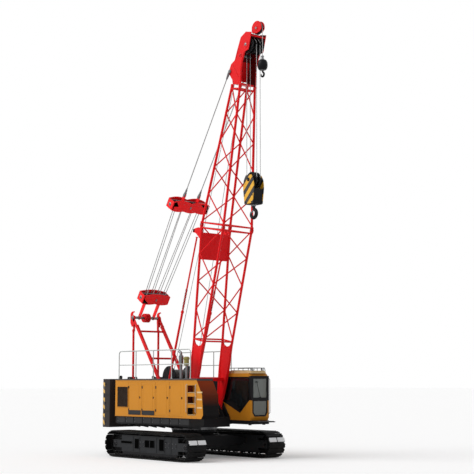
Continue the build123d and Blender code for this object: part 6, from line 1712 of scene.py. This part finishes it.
def add_cab_door():
    """Seal, handle, hinges and pressed panel of the cab door."""
    low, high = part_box("cab_door")
    seal, metal, panel = Form(), Form(), Form()
    surround(seal, DOOR_PANE, "y", high.y - 0.03, high.y + 0.006, 0.022, 0.02)
    surround(panel, rounded((low.x + 0.1, high.x - 0.1), (low.z + 0.1, 1.9), 0.05, 4), "y", high.y - 0.002,
             high.y + 0.004, 0.012, 0.012)
    for z in (low.z + 0.2, high.z - 0.2):
        metal.tube((low.x, high.y, z - 0.05), (low.x, high.y, z + 0.05), 0.008, steps=12)
        metal.box((low.x + 0.004, low.x + 0.07), (high.y, high.y + 0.006), (z - 0.04, z + 0.04))
    metal.prism(rounded((high.x - 0.17, high.x - 0.05), (1.86, 1.92), 0.015), "y", high.y, high.y + 0.02)
    lever = [(high.x - 0.07, high.y + 0.01, 1.89), (high.x - 0.09, high.y + 0.045, 1.89),
             (high.x - 0.15, high.y + 0.045, 1.89)]
    metal.pipe(lever, 0.009, 8)
    piece("cab_door_seal", seal, RUBBER, "cab_door", ease=0.0015)
    piece("cab_door_metal", metal, DARK_STEEL, "cab_door", ease=0.001)
    piece("cab_door_pressing", panel, ORANGE, "cab_door", ease=0.001)


def cushion(name, outline, axis, low, high, swell, piping):
    """Soft pad: an outline blown up towards its middle, with a sewn rim and seams."""
    form = Form()
    cx = sum(p[0] for p in outline) / len(outline)
    cy = sum(p[1] for p in outline) / len(outline)
    shares = (0.0, 0.06, 0.16, 0.35, 0.6, 0.82, 1.0)
    rings = []
    for face in SIDES:
        for share in shares:
            scale = 1 - share
            lift = math.sqrt(max(0.0, 1 - scale ** 4))
            level = (low + high) / 2 + face * ((high - low) / 2 * (0.35 + 0.65 * lift))
            if share > 0.2:
                level += face * swell * 0.3 * math.cos(6 * math.pi * share)
            shrink = max(scale, 0.02)
            ring = [(cx + (x - cx) * shrink, cy + (y - cy) * shrink) for x, y in outline]
            rings.append(raised(ring, axis, level))
    rings = rings[:len(shares)][::-1] + rings[len(shares):]
    form.add([point for ring in rings for point in ring], skin(len(rings), len(outline)))
    obj = piece(name, form, SEAT, "upper")
    rim = Form()
    rim.pipe(raised(offset(outline, 0.002), axis, (low + high) / 2), piping, 6, closed=True)
    piece(name + "_piping", rim, PLASTIC, "upper")


def add_cab_interior():
    """Seat on its suspension base, armrest consoles with levers, pedals, display and floor mat."""
    dark, metal, screen = Form(), Form(), Form()
    seat_low = CAB_FLOOR + 0.26
    cushion("seat_cushion", rounded((0.92, 1.42), (SEAT_Y - 0.25, SEAT_Y + 0.25), 0.07, 5), "z", seat_low,
            seat_low + 0.14, 0.012, 0.006)
    place = tilted((0.965, 0, seat_low + 0.14), math.radians(83))
    back = Form(place)
    outline = rounded((0.02, 0.62), (SEAT_Y - 0.24, SEAT_Y + 0.24), 0.09, 5)
    levels = ((-0.045, 0.94), (-0.055, 1.0), (-0.03, 1.0), (0.03, 0.98), (0.055, 0.86), (0.06, 0.6), (0.05, 0.3),
              (0.052, 0.05))
    cx, cy = 0.32, SEAT_Y
    points = [(cx + (x - cx) * scale, cy + (y - cy) * scale, -level) for level, scale in levels for x, y in outline]
    back.add(points, skin(len(levels), len(outline)))
    piece("seat_back", back, SEAT, "upper", ("cab_seat",))
    dark.box((1.02, 1.3), (SEAT_Y - 0.17, SEAT_Y + 0.17), (CAB_FLOOR, CAB_FLOOR + 0.05))
    for step in range(6):
        z = CAB_FLOOR + 0.05 + 0.033 * step
        dark.prism(rounded((1.03 + 0.005 * (step % 2), 1.29 - 0.005 * (step % 2)), (SEAT_Y - 0.16, SEAT_Y + 0.16),
                           0.03, 3), "z", z, z + 0.03)
    dark.box((0.98, 1.36), (SEAT_Y - 0.2, SEAT_Y + 0.2), (seat_low - 0.02, seat_low))
    for side in SIDES:
        y = layer(side, 0.262, 0.34, SEAT_Y)
        stand = [(1.1, CAB_FLOOR), (1.5, CAB_FLOOR), (1.62, CAB_FLOOR + 0.42), (1.62, CAB_FLOOR + 0.56),
                 (1.1, CAB_FLOOR + 0.52)]
        dark.prism(stand, "y", *y)
        middle_y = sum(y) / 2
        metal.tube((1.575, middle_y, CAB_FLOOR + 0.55), (1.575, middle_y, CAB_FLOOR + 0.66), 0.008, steps=10)
        dark.lathe([(0.03, 0.0), (0.024, 0.02), (0.026, 0.03), (0.018, 0.05), (0.0, 0.052)],
                   (1.575, middle_y, CAB_FLOOR + 0.555), (0, 0, 1), 18)
        dark.lathe([(0.0, 0.0), (0.014, 0.0), (0.022, 0.03), (0.024, 0.07), (0.016, 0.1), (0, 0.105)],
                   (1.575, middle_y, CAB_FLOOR + 0.65), (0, 0, 1), 18)
        for index in range(4):
            metal.lathe([(0.01, 0), (0.01, 0.008), (0, 0.01)],
                        (1.2 + 0.07 * index, middle_y, CAB_FLOOR + 0.528 + 0.0055 * index), (0, 0, 1), 12)
        dark.box((1.86, 1.98), (SEAT_Y + side * 0.1 - 0.045, SEAT_Y + side * 0.1 + 0.045),
                 (CAB_FLOOR + 0.03, CAB_FLOOR + 0.05))
        metal.tube((1.98, SEAT_Y + side * 0.1, CAB_FLOOR), (1.92, SEAT_Y + side * 0.1, CAB_FLOOR + 0.4), 0.009, steps=8)
    dark.prism(rounded((0.55, 2.2), (CAB_LOW.y + 0.07, CAB_HIGH.y - 0.07), 0.05), "z", CAB_FLOOR, CAB_FLOOR + 0.012)
    metal.tube((1.95, 0.87, CAB_FLOOR + 0.3), (1.98, 0.87, CAB_FLOOR + 0.86), 0.014, steps=10)
    dark.prism(rounded((0.8, 1.02), (CAB_FLOOR + 0.82, CAB_FLOOR + 1.0), 0.015), "x", 1.97, 2.0)
    screen.box((1.962, 1.97), (0.82, 1.0), (CAB_FLOOR + 0.84, CAB_FLOOR + 0.98))
    piece("cab_fittings", dark, PLASTIC, "upper", ("cab_console",), 0.004)
    piece("cab_controls", metal, STEEL, "upper")
    piece("cab_display", screen, DISPLAY, "upper", ease=0.001)


def add_cab_deck_details():
    """Grating bars on the step in front of the cab, its brackets, and mounts under the cab."""
    bars, mounts = Form(), Form()
    low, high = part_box("cab_deck")
    for index in range(14):
        y = 0.83 + 0.055 * index
        bars.box((CAB_HIGH.x + 0.01, high.x - 0.01), (y, y + 0.012), (1.3, 1.314))
    for x in (0.62, 2.12):
        for y in (0.86, 1.5):
            mounts.lathe([(0.05, 0), (0.06, 0.01), (0.045, 0.03), (0.06, 0.05)], (x, y, low.z - 0.03), (0, 0, 1), 20)
    piece("cab_step_grating", bars, STEEL, "upper", ease=0.001)
    piece("cab_mounts", mounts, RUBBER, "upper")


dress_nodes()
add_stage()
add_lamp("key", KEY_PLACE, KEY_AIM, KEY_SOFTNESS, KEY_STRENGTH)
add_camera()
for side in SIDES:
    add_track(side)
    add_wheels(side)
    add_track_frame_details(side)
add_slew_ring()
add_carbody_details()
add_lattice()
add_leg_flanges()
add_head()
add_tip()
add_spreader("lower_spreader", LOWER_AT, 1.2, LOWER_Y, (1, 2), "luffing_line",
             [(low, LOWER_AT, 0.0) for low in (-0.34, 0.31)])
add_spreader("upper_spreader", UPPER_AT, 1.65, UPPER_Y, (2, 3), "bridle",
             [(low, UPPER_AT, UPPER_AT + 0.4) for low in (-0.345, 0.315)])
add_luffing_ropes()
add_hoist_ropes()
add_hook_block()
add_aux_ball()
for number in range(1, 5):
    add_service_door("right_door_" + str(number), -1)
for number in range(1, 4):
    add_service_door("left_door_" + str(number), 1)
add_intake()
add_house_trim()
add_handrails()
add_tail()
add_deck_details()
add_exhaust()
add_winches()
add_gantry()
add_backstops()
add_frame_details()
add_cab_shell()
add_cab_door()
add_cab_interior()
add_cab_deck_details()
bpy.context.scene.view_settings.view_transform = "Standard"
